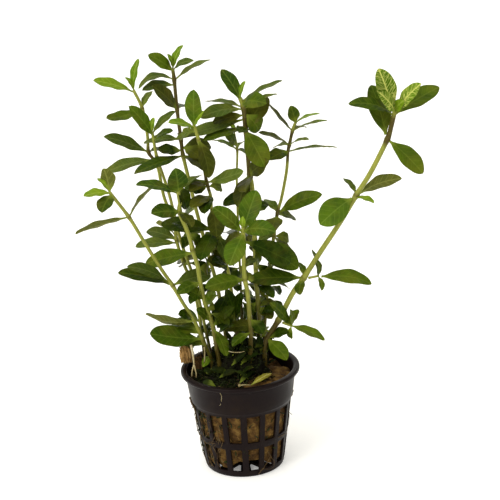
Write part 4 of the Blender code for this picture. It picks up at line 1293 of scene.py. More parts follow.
@dataclass(frozen=True)
class NetPot:
    """Net pot: one lathed cup whose windows and floor slots are opened between its two skins."""

    height: float = 48.0
    lip_radius: float = 27.5
    lip_depth: float = 2.0
    band_top_radius: float = 25.5
    band_foot_radius: float = 23.75
    band_foot_z: float = 33.6
    slotted_top_radius: float = 23.1
    slotted_top_z: float = 32.4
    knee_lift: float = 0.4
    base_radius: float = 18.5
    base_round: float = 0.9
    wall: float = 1.05
    floor: float = 1.2
    ribs: int = 16
    rib_turn: float = math.radians(1.3)
    rib_width: float = 2.5
    wide_rib_width: float = 2.9
    wide_rib_every: int = 4
    windows: tuple[Pair, ...] = ((3.2, 14.8), (18.2, 32.0))
    floor_slots: int = 8
    floor_bar_width: float = 5.0
    floor_slot_radii: Pair = (6.5, 14.6)
    floor_bar_columns: int = 2
    columns_per_rib: int = 8
    # The most that one side's bar may take of the way between two bars.
    most_bar_share: float = 0.4
    # Nearer to the axis than this, the floor has no columns to slide.
    hub_radius: float = 1.0
    edge_round: float = 0.22
    # Where the outline's points lie from the corner that they round, outwards and up.
    floor_corner: tuple[Pair, ...] = ((-0.5, 0.0), (0.0, 0.5))
    lip_inside: tuple[Pair, ...] = ((0.15, -0.5), (0.5, -0.15), (1.0, 0.0))
    lip_outside: tuple[Pair, ...] = ((-0.8, 0.0), (-0.35, -0.12), (-0.08, -0.45), (0.0, -0.9))
    lip_foot: tuple[Pair, ...] = ((-0.05, 0.45), (-0.3, 0.1), (-0.7, 0.0))
    band_top: tuple[Pair, ...] = (
        (0.35, 0.0), (0.08, -0.12), (-0.05, -0.5), (-0.65, -5.0), (-1.25, -9.5),
    )
    band_foot: tuple[Pair, ...] = ((0.08, 0.45), (-0.05, 0.1), (-0.35, -0.1))
    slotted_top: tuple[Pair, ...] = ((0.12, 0.25), (0.0, -0.05))
    corner: float = math.radians(55)

    @property
    def columns(self) -> int:
        """Count the steps of the full turn."""
        return self.ribs * self.columns_per_rib

    def outer_radius(self, z: float) -> float:
        """Give the slotted wall's outer radius at a height."""
        flare = (self.slotted_top_radius - self.base_radius) / self.slotted_top_z
        return self.base_radius + z * flare

    def inner_radius(self, z: float) -> float:
        """Give the pot's inner radius at a height.

        Args:
            z: the height.

        Returns:
            The radius.
        """
        if z >= self.band_foot_z:
            share = (z - self.band_foot_z) / (self.height - self.lip_depth - self.band_foot_z)
            outer = self.band_foot_radius + share * (self.band_top_radius - self.band_foot_radius)
            return outer - self.wall
        return self.outer_radius(z) - self.wall

    def profile(self) -> list[Pair]:
        """List the wall's outline, from the middle of the floor's top round to its underside.

        Returns:
            The points, as radius and height.
        """
        lip_z = self.height - self.lip_depth
        rows = [z for pair in self.windows for z in pair]
        third = (lip_z - self.band_foot_z) / 3
        band = [self.band_foot_z + self.knee_lift + i * third for i in (1, 2)]
        inner_slot, outer_slot = self.floor_slot_radii
        lip_inner = self.inner_radius(lip_z)
        floor_radius = self.inner_radius(self.floor)

        def rounding(radius: float, z: float, offsets: tuple[Pair, ...]) -> list[Pair]:
            """List the points that lie at offsets from a corner."""
            return [(radius + out, z + up) for out, up in offsets]

        return [
            # Inside: the floor, the slotted wall and the band.
            *((radius, self.floor) for radius in (0.0, inner_slot, outer_slot)),
            *rounding(floor_radius, self.floor, self.floor_corner),
            *((self.inner_radius(z), z) for z in rows),
            (self.inner_radius(self.slotted_top_z), self.slotted_top_z + self.knee_lift),
            (self.inner_radius(self.band_foot_z), self.band_foot_z + self.knee_lift),
            *((self.inner_radius(z), z) for z in (*band, lip_z)),
            # The rolled lip.
            *rounding(lip_inner, self.height, self.lip_inside),
            *rounding(self.lip_radius, self.height, self.lip_outside),
            *rounding(self.lip_radius, lip_z, self.lip_foot),
            # Outside: the band, the slotted wall and the foot.
            *rounding(self.band_top_radius, lip_z, self.band_top),
            *rounding(self.band_foot_radius, self.band_foot_z, self.band_foot),
            *rounding(self.slotted_top_radius, self.slotted_top_z, self.slotted_top),
            *((self.outer_radius(z), z) for z in reversed(rows)),
            (self.base_radius, self.base_round),
            (self.base_radius - 0.25, 0.25),
            (self.base_radius - self.base_round, 0.0),
            *((radius, 0.0) for radius in (outer_slot, inner_slot, 0.0)),
        ]

    def rib_half_width(self, rib: int) -> float:
        """Give half the width of a rib, counted from the one that faces the viewer."""
        wide = rib % self.wide_rib_every == 0
        return (self.wide_rib_width if wide else self.rib_width) / 2

    def open_cells(self, patch: Patch) -> None:
        """Open the windows and the floor's slots, and wall their sides.

        Args:
            patch: the lathed cup, its columns still even.
        """
        step = math.tau / self.columns
        inner_slot, outer_slot = self.floor_slot_radii
        cells: dict[tuple[str, int, int], list[BMFace]] = {}
        for face in patch.shape.faces:
            middle = face.calc_center_median()
            radius = math.hypot(middle.x, middle.y)
            column = int((math.atan2(middle.y, middle.x) + math.pi / 2) % math.tau / step)
            if middle.z < self.floor + 0.01:
                span, bar = self.columns // self.floor_slots, self.floor_bar_columns
                if inner_slot < radius < outer_slot and bar <= column % span < span - bar:
                    cells.setdefault(("slot", column // span, 0), []).append(face)
                continue
            window, place = divmod(column, self.columns_per_rib)
            for row, (low, high) in enumerate(self.windows):
                if low < middle.z < high and 1 <= place < self.columns_per_rib - 1:
                    cells.setdefault(("window", window, row), []).append(face)
        finish = patch.finishes[0]
        for faces in cells.values():
            edges = {edge for face in faces for edge in face.edges}
            rim = [edge for edge in edges if sum(other in faces for other in edge.link_faces) == 1]
            bmesh.ops.delete(patch.shape, geom=faces, context="FACES_ONLY")
            loose = [edge for edge in edges if edge.is_valid and not edge.link_faces]
            bmesh.ops.delete(patch.shape, geom=loose, context="EDGES")
            patch.dress(bmesh.ops.bridge_loops(patch.shape, edges=rim)["faces"], finish)

    def space_columns(self, patch: Patch) -> None:
        """Slide the even columns round, so that each rib and floor bar gets its own width.

        Args:
            patch: the cup with its cells open.
        """
        even = math.tau / self.columns
        for vert in patch.shape.verts:
            radius = math.hypot(vert.co.x, vert.co.y)
            if radius < self.hub_radius:
                continue
            on_floor = vert.co.z < self.floor + 0.01 and radius < self.floor_slot_radii[1] + 0.1
            span = self.columns // self.floor_slots if on_floor else self.columns_per_rib
            bar = self.floor_bar_columns if on_floor else 1
            column = round((math.atan2(vert.co.y, vert.co.x) + math.pi / 2) / even) % self.columns
            sector, place = divmod(column, span)
            width = span * even
            limit = self.most_bar_share * width
            if on_floor:
                halves = [min(limit, self.floor_bar_width / 2 / radius)] * 2
            else:
                ribs = (sector, sector + 1)
                halves = [min(limit, self.rib_half_width(rib) / radius) for rib in ribs]
            if place <= bar:
                angle = halves[0] * place / bar
            elif place >= span - bar:
                angle = width - halves[1] * (span - place) / bar
            else:
                open_width = width - sum(halves)
                angle = halves[0] + open_width * (place - bar) / (span - 2 * bar)
            angle += sector * width - math.pi / 2 + self.rib_turn
            vert.co.x = radius * math.cos(angle)
            vert.co.y = radius * math.sin(angle)

    def build(self, finish: Material) -> None:
        """Build the pot.

        Args:
            finish: its plastic.
        """
        patch = Patch()
        shape = patch.shape
        patch.lathe(self.profile(), self.columns, finish)
        bmesh.ops.rotate(shape, verts=shape.verts, matrix=Matrix.Rotation(-math.pi / 2, 3, UP))
        self.open_cells(patch)
        self.space_columns(patch)
        bmesh.ops.recalc_face_normals(shape, faces=shape.faces)
        cell_edges = [edge for edge in shape.edges if edge.is_manifold and self.on_cell(edge)]
        corners = [edge for edge in cell_edges if edge.calc_face_angle() > self.corner]
        rounding = {"offset": self.edge_round, "segments": 2, "profile": 0.5, "material": -1}
        bmesh.ops.bevel(shape, geom=corners, affect="EDGES", clamp_overlap=True, **rounding)
        patch.dress(shape.faces, finish)
        patch.piece("slotted_pot", "black_plastic", "net_pot")

    def on_cell(self, edge: BMEdge) -> bool:
        """Tell whether an edge bounds a window or a slot, rather than the lip or the foot."""
        return (edge.verts[0].co.z + edge.verts[1].co.z) / 2 < self.slotted_top_z


@dataclass(frozen=True)
class RockWoolPlug:
    """Rock wool plug: packed brown fibre, uneven on top, with a hollow and a torn tuft.

    A nap is how far coarse noise, and then fine noise, roughens the skin.
    """

    pot: NetPot
    foot_z: float = 3.6
    top_z: float = 44.6
    edge_z: float = 42.6
    flat_radius: float = 17.0
    gap: float = 0.15
    steps: int = 112
    hollow_centre: Triple = (16.5, 11.0, 47.0)
    hollow_size: Triple = (6.5, 6.0, 8.0)
    bare_foot_turn: float = math.radians(-81)
    bare_foot_spread: float = math.radians(32)
    bare_foot_lift: float = 3.6
    tufts: tuple[Lump, Lump] = (
        ((-19.4, 7.0, 46.6), (2.8, 3.0, 3.8)),
        ((-24.7, 5.2, 53.2), (3.2, 2.9, 4.9)),
    )
    tuft_squareness: float = 0.3
    side_rows: int = 34
    top_rings: int = 20
    banded_rows: tuple[float, ...] = (40.0, 37.5, 35.0)
    top_nap: Pair = (0.9, 0.3)
    side_nap: Pair = (1.15, 0.35)
    foot_nap: float = 1.6
    fibres: int = 640
    fibre_reach: float = 21.5
    fibre_slope: float = 0.35
    fibre_lengths: Pair = (1.5, 3.6)
    fibre_bend: float = 0.5
    fibre_radii: Triple = (0.13, 0.11, 0.05)

    def lump(self, patch: Patch, centre: Triple, size: Triple, finish: Material) -> None:
        """Add a ragged ball of fibre.

        Args:
            patch: the plug's mesh.
            centre: the ball's middle.
            size: its three radii.
            finish: its fibre.
        """
        for vert in patch.ball(finish, 5):
            drawn = Vector((vert.co.x * 3.0, vert.co.y * 3.0, vert.co.z * 0.7))
            ragged = 1 + 0.2 * noise.fractal(drawn * 1.6, 0.9, 2.2, 5) - 0.06
            ragged /= max(abs(part) for part in vert.co) ** self.tuft_squareness
            vert.co = Vector(centre) + Vector(a * b * ragged for a, b in zip(vert.co, size))

    def sunk(self, x: float, y: float, z: float) -> float:
        """Lower a point of the top into the hollow where it lies over it.

        Args:
            x: the point's place to the right.
            y: its place to the back.
            z: its height.

        Returns:
            Its new height.
        """
        middle, size = self.hollow_centre, self.hollow_size
        aside = math.hypot((x - middle[0]) / size[0], (y - middle[1]) / size[1])
        return z if aside >= 1.0 else min(z, middle[2] - size[2] * math.sqrt(1 - aside**2))

    @property
    def lifted_to(self) -> float:
        """Give the height that the roots' lift reaches up to."""
        return self.pot.slotted_top_z - 12

    def lifted(self, co: Vector) -> float:
        """Lift a point, more towards the foot, where roots hold the plug off the floor.

        Args:
            co: the point.

        Returns:
            Its new height.
        """
        turn = (math.atan2(co.y, co.x) - self.bare_foot_turn + math.pi) % math.tau - math.pi
        share = 1 - smooth_step(0.55 * self.bare_foot_spread, self.bare_foot_spread, abs(turn))
        share *= smooth_step(2.0, 7.0, math.hypot(co.x, co.y))
        below = max(0.0, 1 - (co.z - self.foot_z) / (self.lifted_to - self.foot_z))
        return co.z + self.bare_foot_lift * share * below

    def radius(self, z: float) -> float:
        """Give the plug's radius at a height, before its skin is roughened."""
        return self.pot.inner_radius(z) - self.gap

    def profile(self) -> list[Pair]:
        """List the plug's outline, from the middle of its top round to the middle of its foot.

        Returns:
            The points, as radius and height.
        """
        rows, rings = self.side_rows, self.top_rings
        side_foot = self.foot_z + 0.8
        side_height = self.pot.slotted_top_z - side_foot
        side = [side_foot + i / rows * side_height for i in range(rows + 1)]
        banded = (*self.banded_rows, self.pot.band_foot_z + 0.9)
        slope = self.radius(self.edge_z) - self.flat_radius
        return [
            *((self.flat_radius * i / rings, self.top_z) for i in range(rings + 1)),
            *((self.flat_radius + i / 5 * slope, self.top_z - i / 5 * 2.0) for i in range(1, 6)),
            *((self.radius(z), z) for z in (*banded, *reversed(side))),
            *(((self.radius(self.foot_z) - 0.6) * (1 - i / 10), self.foot_z) for i in range(11)),
        ]

    def build(self, finish: Material, strand: Material, torn: Material) -> None:
        """Build the plug.

        Args:
            finish: the packed fibre.
            strand: the loose fibres on it.
            torn: the fibre of the torn tuft.
        """
        patch = Patch()
        patch.lathe(self.profile(), self.steps, finish)
        for vert in patch.shape.verts:
            radius = math.hypot(vert.co.x, vert.co.y)
            coarse = noise.fractal(vert.co * 0.28, 0.9, 2.1, 5)
            fine = noise.fractal(vert.co * 0.9, 0.9, 2.0, 4)
            if vert.co.z > self.edge_z - 0.01:
                vert.co.z += self.top_nap[0] * coarse + self.top_nap[1] * fine
                vert.co.z = self.sunk(vert.co.x, vert.co.y, vert.co.z)
            elif vert.co.z < self.foot_z + 0.01:
                vert.co.z += max(0.0, self.foot_nap * coarse + 0.5)
            elif radius > 1.0:
                torn_in = self.side_nap[0] * (coarse + 0.3) + self.side_nap[1] * fine
                inward = max(0.0, torn_in)
                scale = (radius - inward) / radius
                vert.co.x *= scale
                vert.co.y *= scale
            if vert.co.z < self.lifted_to:
                vert.co.z = self.lifted(vert.co)
        for (centre, size), fibre in zip(self.tufts, (finish, torn)):
            self.lump(patch, centre, size, fibre)
        self.add_fibres(patch, strand)
        patch.piece("packed_fibre", "rock_wool", "rock_wool")

    def add_fibres(self, patch: Patch, strand: Material) -> None:
        """Scatter loose fibres over the top, the tuft and the wall behind the windows.

        Args:
            patch: the plug's mesh.
            strand: the fibres' finish.
        """
        chance = random.Random("fibres")
        for i in range(self.fibres):
            turn = chance.uniform(0, math.tau)
            if i % 5 < 2:
                radius = self.fibre_reach * math.sqrt(chance.random())
                fall = max(0.0, radius - self.flat_radius) * self.fibre_slope
                start = round_axis(radius, turn, self.top_z - fall)
                start.z = self.sunk(*start)
                heading = scattered(chance, 0, 0.35)
            elif i % 5 == 2:
                centre, size = self.tufts[i % 2]
                start = Vector(centre) + Vector(chance.uniform(-0.95, 0.95) * s for s in size)
                heading = Vector((chance.uniform(-0.3, 0.3), chance.uniform(-0.3, 0.3), 1.0))
            else:
                z = chance.uniform(self.foot_z + self.bare_foot_lift, self.pot.slotted_top_z - 1)
                start = round_axis(self.pot.inner_radius(z) - 0.25, turn, z)
                round_wall = Vector((-math.sin(turn), math.cos(turn), 0)) * chance.uniform(-1, 1)
                heading = round_wall + UP * chance.uniform(-1, 1)
            heading.normalize()
            length = chance.uniform(*self.fibre_lengths)
            bend = Vector(chance.uniform(-self.fibre_bend, self.fibre_bend) for _ in range(3))
            points = [start + heading * length * s + bend * s * s for s in (0.0, 0.5, 1.0)]
            patch.sweep(points, self.fibre_radii, strand, sides=3)


@dataclass(frozen=True)
class MossMat:
    """Moss and old growth on the plug: dark mounds, sprigs of moss, and small old leaves."""

    pot: NetPot
    mounds: tuple[Lump, Lump] = (
        ((0.5, 1.0, 45.0), (13.5, 10.5, 14.0)),
        ((-7.0, -4.5, 44.0), (14.2, 15.0, 2.8)),
    )
    floor_z: float = 44.6
    floor_flat_radius: float = 17.0
    floor_slope: float = 0.36
    reach: float = 21.5
    sprigs: int = 1300
    sprig_lengths: Pair = (1.6, 4.2)
    sprig_radii: tuple[float, ...] = (0.2, 0.42, 0.34, 0.05)
    strays: int = 260
    stray_lengths: Pair = (1.2, 2.8)
    stray_radii: tuple[float, ...] = (0.16, 0.34, 0.28, 0.05)
    old_leaves: int = 46
    old_leaf_lengths: Pair = (5.5, 10.5)
    old_leaf_widths: Pair = (2.4, 4.2)
    old_leaf_reach: float = 23.5
    bends_at: tuple[float, ...] = (0.0, 0.4, 0.75, 1.0)

    def covered(self, x: float, y: float) -> bool:
        """Tell whether moss covers the plug at a place: all but the right and the front right."""
        on_right = x >= 12.5 + 1.5 * math.sin(y * 0.7)
        return math.hypot(x, y) < self.reach and not on_right and not (x > 3 and y < -11)

    def plug_top(self, x: float, y: float) -> float:
        """Give the height of the bare plug at a place."""
        beyond = max(0.0, math.hypot(x, y) - self.floor_flat_radius)
        return self.floor_z - self.floor_slope * beyond

    def surface(self, x: float, y: float) -> float:
        """Give the height of the mounds or the plug at a place.

        Args:
            x: the place to the right.
            y: the place to the back.

        Returns:
            The height.
        """
        top = self.plug_top(x, y)
        for centre, size in self.mounds:
            rise = 1 - ((x - centre[0]) / size[0]) ** 2 - ((y - centre[1]) / size[1]) ** 2
            if rise > 0:
                top = max(top, centre[2] + size[2] * math.sqrt(rise))
        return top

    def build(
        self,
        form: BladeForm,
        moss: Material,
        sprig: Material,
        skins: tuple[Material, Material],
    ) -> None:
        """Build the mat.

        Args:
            form: how leaf blades are shaped.
            moss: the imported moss.
            sprig: the sprigs that stand from it.
            skins: the old leaves' upper and lower finish.
        """
        patch = Patch()
        chance = random.Random("moss")
        for centre, size in self.mounds:
            for vert in patch.ball(moss, 5):
                place = Vector(a * b for a, b in zip(vert.co, size))
                place *= 0.93 + 0.16 * noise.fractal(vert.co * 4.0, 0.9, 2.1, 5)
                vert.co = Vector(centre) + place
                vert.co.z = max(vert.co.z, self.plug_top(vert.co.x, vert.co.y) - 0.4)
        for _ in range(self.sprigs):
            x, y = chance.uniform(-21, 15), chance.uniform(-21, 19)
            if not self.covered(x, y):
                continue
            start = Vector((x, y, self.surface(x, y) - 0.4))
            outward = (start - Vector(self.mounds[0][0])) * 0.05
            heading = scattered(chance, 0.1, 1) + outward
            heading.normalize()
            length = chance.uniform(*self.sprig_lengths)
            bend = Vector((chance.uniform(-0.8, 0.8), chance.uniform(-0.8, 0.8), -0.5))
            points = [start + heading * length * s + bend * s * s for s in self.bends_at]
            patch.sweep(points, self.sprig_radii, sprig, sides=4, flatness=0.35)
        for _ in range(self.old_leaves):
            x, y = chance.gauss(-1, 7.5), chance.gauss(-3, 6.5)
            if not self.covered(x, y):
                continue
            base = Vector((x, y, self.surface(x, y) - 0.5))
            lean = chance.uniform(-1, 1), chance.uniform(-1, 0.6), chance.uniform(0.15, 1.1)
            tip = base + Vector(lean).normalized() * chance.uniform(*self.old_leaf_lengths)
            if math.hypot(tip.x, tip.y) > self.old_leaf_reach:
                continue
            width = chance.uniform(*self.old_leaf_widths)
            shown, arch = width * chance.uniform(0.4, 0.95), chance.uniform(0.4, 1.4)
            leaf = Leaf(0, 0, 0, 0, width, shown, arch=arch)
            form.grow(patch, leaf, base, tip, skins, (6, 14), chance)
        self.add_strays(patch, sprig, chance)
        patch.piece("moss_and_old_growth", "moss", "moss_mound")

    def add_strays(self, patch: Patch, sprig: Material, chance: random.Random) -> None:
        """Let stray sprigs creep out of the pot's windows, most of them on the left.

        Args:
            patch: the mat's mesh.
            sprig: the sprigs' finish.
            chance: the source of their places.
        """
        low, high = self.pot.windows[0][0], self.pot.windows[-1][1]
        for i in range(self.strays):
            turn = math.radians(chance.gauss(200, 15) if i % 3 else chance.uniform(0, 360))
            z = low + (high - low) * (1 - chance.random() ** 2 * 0.9)
            start = round_axis(self.pot.inner_radius(z) + chance.uniform(-0.2, 0.7), turn, z)
            round_wall = Vector((-math.sin(turn), math.cos(turn), 0.0))
            heading = round_wall * chance.uniform(-1, 1) + UP * chance.uniform(-1, 1)
            heading = (heading + start * 0.012).normalized() * chance.uniform(*self.stray_lengths)
            points = [start + heading * share for share in self.bends_at]
            patch.sweep(points, self.stray_radii, sprig, sides=4, flatness=0.4)


@dataclass(frozen=True)
class FineRoots:
    """Fine roots: pale threads that leave the slots, and a tangle over the plug."""

    pot: NetPot
    step: float = 1.8
    wall_threads: int = 46
    wall_thread_radii: Pair = (0.08, 0.17)
    top_threads: int = 90
    top_thread_radii: Pair = (0.07, 0.15)
    top_z: float = 45.0
    # The bare right of the plug starts here.
    bare_x: float = 13.0
    reach: float = 22.0

    # Each from (x, z, off the skin) to (x, z, off the skin), with its sag and radius.
    OLD_ROUTES = (
        ((6.0, 1.0, 0.2), (12.0, 9.5, 1.2), (0, -0.8, 0), 0.14),
        ((12.0, 9.5, 1.2), (13.2, 3.2, 1.6), (0.8, -0.6, 0), 0.12),
        ((13.2, 3.2, 1.6), (8.0, 4.0, 0.9), (0, -0.5, -0.6), 0.12),
        ((8.0, 4.0, 0.9), (6.0, 1.0, 0.2), (0, -0.4, 0.4), 0.12),
        ((12.0, 9.5, 1.2), (10.6, 12.4, 0.4), (0, -0.5, 0.5), 0.1),
        ((-21.3, 30.0, 0.3), (-20.4, 17.0, 0.5), (-0.6, -0.4, 0), 0.22),
        ((-19.8, 29.0, 0.3), (-18.4, 19.0, 0.5), (0.5, -0.4, 0), 0.16),
        ((-20.6, 18.0, 0.4), (-17.4, 15.2, 0.5), (0, -0.4, -0.5), 0.18),
        ((-17.4, 15.2, 0.5), (-13.0, 17.2, 0.4), (0, -0.3, 0.4), 0.16),
        ((-20.2, 16.2, 0.4), (-18.0, 4.0, 0.4), (-0.4, -0.4, 0), 0.17),
        ((-18.4, 15.0, 0.4), (-15.6, 3.0, 0.4), (0.5, -0.4, 0), 0.13),
        ((19.6, 16.8, 0.3), (21.4, 28.5, 0.4), (0.7, -0.3, 0), 0.12),
        ((16.0, 17.2, 0.3), (20.2, 15.4, 0.5), (0, -0.4, 0.5), 0.13),
        ((-23.8, 35.2, 0.1), (-22.9, 31.8, 0.5), (-0.2, 0, 0), 0.45),
        ((-23.2, 33.5, 0.4), (-21.6, 30.2, 0.5), (0, -0.2, 0), 0.4),
        ((23.9, 35.6, 0.0), (23.2, 32.8, 0.2), (0.1, 0, 0), 0.3),
    )

    def wander(
        self, start: Vector, end: Vector, sag: Vector, chance: random.Random, roughness: float
    ) -> list[Vector]:
        """Draw a wandering line between two points.

        Args:
            start: one end.
            end: the other end.
            sag: how far the middle is pulled aside.
            chance: the source of its wander.
            roughness: how far each point strays.

        Returns:
            The points.
        """
        count = max(5, round((end - start).length / self.step))
        points = []
        for i in range(count + 1):
            share = i / count
            stray = scattered(chance) * roughness * math.sin(math.pi * share)
            points.append(start.lerp(end, share) + sag * 4 * share * (1 - share) + stray)
        return points

    def on_wall(self, x: float, z: float, proud: float) -> Vector:
        """Give the point of the pot's front at x and a real height, that far off its skin.

        Args:
            x: its place to the right.
            z: its height.
            proud: how far off the skin it lies.

        Returns:
            The point.
        """
        pot = self.pot
        if z > pot.band_foot_z:
            radius = pot.inner_radius(z) + pot.wall + proud
        else:
            radius = pot.outer_radius(z) + proud
        return Vector((x, -math.sqrt(max(0.0, radius**2 - x**2)), z))

    def build(self, pale: Material, dark: Material) -> None:
        """Build the roots.

        Args:
            pale: living root.
            dark: old root.
        """
        patch = Patch()
        chance = random.Random("roots")
        wall, pot_radius = self.on_wall, self.pot.outer_radius
        pale_routes = [
            (seen(-22.0, 59.5, -4), seen(-21.2, 49.5, -6), (0.3, 0, 0), 0.62),
            (seen(-21.2, 49.5, -6), seen(-22.6, 43.6, -7), (-0.3, 0, 0), 0.38),
            (seen(-21.2, 49.5, -6), seen(-20.6, 43.0, -8), (0.3, 0, 0), 0.38),
            (seen(-16.0, 58.0, 0), seen(-16.4, 50.5, 0), (0.2, 0, 0), 0.4),
            (seen(-3.0, 58.5, -10), seen(1.2, 60.0, -11), (0, 0, 0.8), 0.22),
            (seen(-5.0, 55.5, -11), seen(2.4, 55.0, -12), (0, 0, -0.6), 0.18),
            (wall(-9.4, 45.4, 0.12), wall(-9.0, 41.6, 0.12), (0.5, 0, 0), 0.12),
            (wall(-9.0, 41.6, 0.12), wall(-9.8, 38.6, 0.12), (0.3, 0, 0), 0.1),
        ]
        for start, end, sag, radius in pale_routes:
            points = self.wander(start, end, Vector(sag), chance, 0.12)
            radii = [radius * (1 - 0.4 * i / len(points)) for i in range(len(points))]
            patch.sweep(points, radii, pale, sides=6)
        for start, end, sag, radius in self.OLD_ROUTES:
            points = self.wander(wall(*start), wall(*end), Vector(sag), chance, 0.25)
            patch.sweep(points, [radius] * len(points), dark, sides=5)
        for _ in range(self.wall_threads):
            x, z = chance.uniform(-22, -11), chance.uniform(3, 30)
            x = max(x, 0.5 - pot_radius(z))
            start = wall(x, z, chance.uniform(-0.5, 0.3))
            z += chance.uniform(-7, 7)
            x = max(x + chance.uniform(-2, 3), 0.5 - pot_radius(z))
            end = wall(x, max(1.5, min(z, 31.0)), chance.uniform(-0.5, 0.5))
            points = self.wander(start, end, Vector((0, -0.3, 0)), chance, 0.3)
            radius = chance.uniform(*self.wall_thread_radii)
            patch.sweep(points, [radius] * len(points), dark, sides=4)
        for _ in range(self.top_threads):
            turn = chance.uniform(0, math.tau)
            start = round_axis(chance.uniform(4, 20), turn, self.top_z)
            if start.x > self.bare_x:
                continue
            way = Vector((chance.uniform(-6, 6), chance.uniform(-6, 6), chance.uniform(-0.4, 1.0)))
            end = start + way
            if math.hypot(end.x, end.y) > self.reach:
                continue
            points = self.wander(start, end, Vector((0, 0, 0.9)), chance, 0.5)
            radius = chance.uniform(*self.top_thread_radii)
            patch.sweep(points, [radius] * len(points), dark, sides=4)
        patch.piece("fine_roots", "dead_leaf")


@dataclass(frozen=True)
class FallenLeaf:
    """Fallen leaf: a dead yellow blade inside the front rim, on its pale stalk."""

    ends: tuple[Triple, ...] = ((4.6, -18.0, 45.7), (14.4, -8.5, 47.0))
    stalk_end: Triple = (-0.5, -18.8, 46.2)
    leaf: Leaf = Leaf(0, 0, 0, 0, 3.4, 2.6, arch=0.6)
    stalk_radii: tuple[float, ...] = (0.3, 0.26, 0.26, 0.3, 0.42)
    stalk_arch: float = 0.35
    bead_radius: float = 0.72

    def build(self, form: BladeForm, skins: tuple[Material, Material], stalk: Material) -> None:
        """Build the leaf and its stalk.

        Args:
            form: how blades are shaped.
            skins: its upper and lower finish.
            stalk: the stalk's finish.
        """
        patch = Patch()
        base, tip = (Vector(end) for end in self.ends)
        form.grow(patch, self.leaf, base, tip, skins, (10, 32), random.Random("fallen"))
        end = Vector(self.stalk_end)
        arch = UP * self.stalk_arch
        points = [base.lerp(end, i / 4) + arch * math.sin(math.pi * i / 4) for i in range(5)]
        patch.sweep(points, self.stalk_radii, stalk, sides=8)
        for vert in patch.ball(stalk, 3, self.bead_radius, end):
            vert.co.z = max(vert.co.z, end.z - 0.6)
        patch.piece("dead_leaf_blade", "dead_leaf", "fallen_leaf")


@dataclass(frozen=True)
class Studio:
    """Studio: a white paper sweep, soft lamps, an even surround and the photo's camera."""

    pitch: float = math.radians(18.3)
    roll: float = math.radians(2.9)
    field: float = math.radians(20.0)
    sensor: float = 36.0
    # Powers in watts, but the sun's in watts to the square metre.
    sun_power: float = 2.0
    sun_spread: float = math.radians(100)
    softbox_power: float = 5.0
    surround_strength: float = 0.5
    # In metres.
    floor_reach: float = 3.0
    wall_height: float = 4.0
    sweep_radius: float = 1.5
    softbox_side: float = 0.45
    softbox_place: Triple = (-0.7, -0.8, 0.75)
    softbox_aim: Triple = (0, 0, 0.1)

    def build_sweep(self, paper: Material) -> None:
        """Build the floor and the back wall that it curves into.

        Args:
            paper: their finish.
        """
        shape = bmesh.new()
        bmesh.ops.create_grid(shape, x_segments=1, y_segments=1, size=self.floor_reach)
        back = [edge for edge in shape.edges if all(vert.co.y > 0 for vert in edge.verts)]
        risen = bmesh.ops.extrude_edge_only(shape, edges=back)["geom"]
        top = [part for part in risen if isinstance(part, BMVert)]
        bmesh.ops.translate(shape, vec=(0, 0, self.wall_height), verts=top)
        curve = {"offset": self.sweep_radius, "segments": 24, "profile": 0.5, "material": -1}
        bmesh.ops.bevel(shape, geom=back, affect="EDGES", **curve)
        for face in shape.faces:
            face.smooth = True
        mesh = bpy.data.meshes.new("paper_sweep")
        shape.to_mesh(mesh)
        shape.free()
        mesh.materials.append(paper)
        sweep = bpy.data.objects.new("paper_sweep", mesh)
        bpy.context.scene.collection.objects.link(sweep)

    def add_sun(self) -> None:
        """Hang a very soft sun, which acts as a lit cloth over the plant."""
        data = bpy.data.lights.new("overhead_diffuser", "SUN")
        data.energy = self.sun_power
        data.angle = self.sun_spread
        data.color = linear("fffcf4")[:3]
        lamp = bpy.data.objects.new("overhead_diffuser", data)
        lamp.rotation_euler = Vector((-0.25, -0.35, 1.0)).to_track_quat("Z", "Y").to_euler()
        bpy.context.scene.collection.objects.link(lamp)

    def add_softbox(self) -> None:
        """Stand a soft square lamp at the front left."""
        data = bpy.data.lights.new("front_left_softbox", "AREA")
        data.shape = "SQUARE"
        data.size = self.softbox_side
        data.energy = self.softbox_power
        lamp = bpy.data.objects.new("front_left_softbox", data)
        lamp.location = self.softbox_place
        ahead = Vector(self.softbox_aim) - lamp.location
        lamp.rotation_euler = ahead.to_track_quat("-Z", "Y").to_euler()
        bpy.context.scene.collection.objects.link(lamp)

    def build_camera(self) -> None:
        """Place the camera where the photo was taken from."""
        ahead = Vector((0, math.cos(self.pitch), -math.sin(self.pitch)))
        right = Vector((1, 0, 0))
        up = right.cross(ahead)
        turned_right = right * math.cos(self.roll) - up * math.sin(self.roll)
        turned_up = right * math.sin(self.roll) + up * math.cos(self.roll)
        data = bpy.data.cameras.new("camera")
        data.sensor_width = self.sensor
        data.lens = self.sensor / 2 / math.tan(self.field / 2)
        data.clip_start = 0.01
        camera = bpy.data.objects.new("camera", data)
        axes = Matrix((turned_right, turned_up, -ahead)).transposed().to_4x4()
        camera.matrix_world = Matrix.Translation(EYE * MM) @ axes
        bpy.context.scene.collection.objects.link(camera)
        bpy.context.scene.camera = camera

    def build(self, paper: Material) -> None:
        """Build the studio.

        Args:
            paper: the sweep's finish.
        """
        self.build_sweep(paper)
        self.build_camera()
        self.add_sun()
        self.add_softbox()
        world = bpy.data.worlds.new("surround")
        world.use_nodes = True
        surround = world.node_tree.nodes["Background"]
        surround.inputs["Color"].default_value = linear("fffdf8")
        surround.inputs["Strength"].default_value = self.surround_strength
        bpy.context.scene.world = world
        bpy.context.scene.view_settings.view_transform = "Standard"


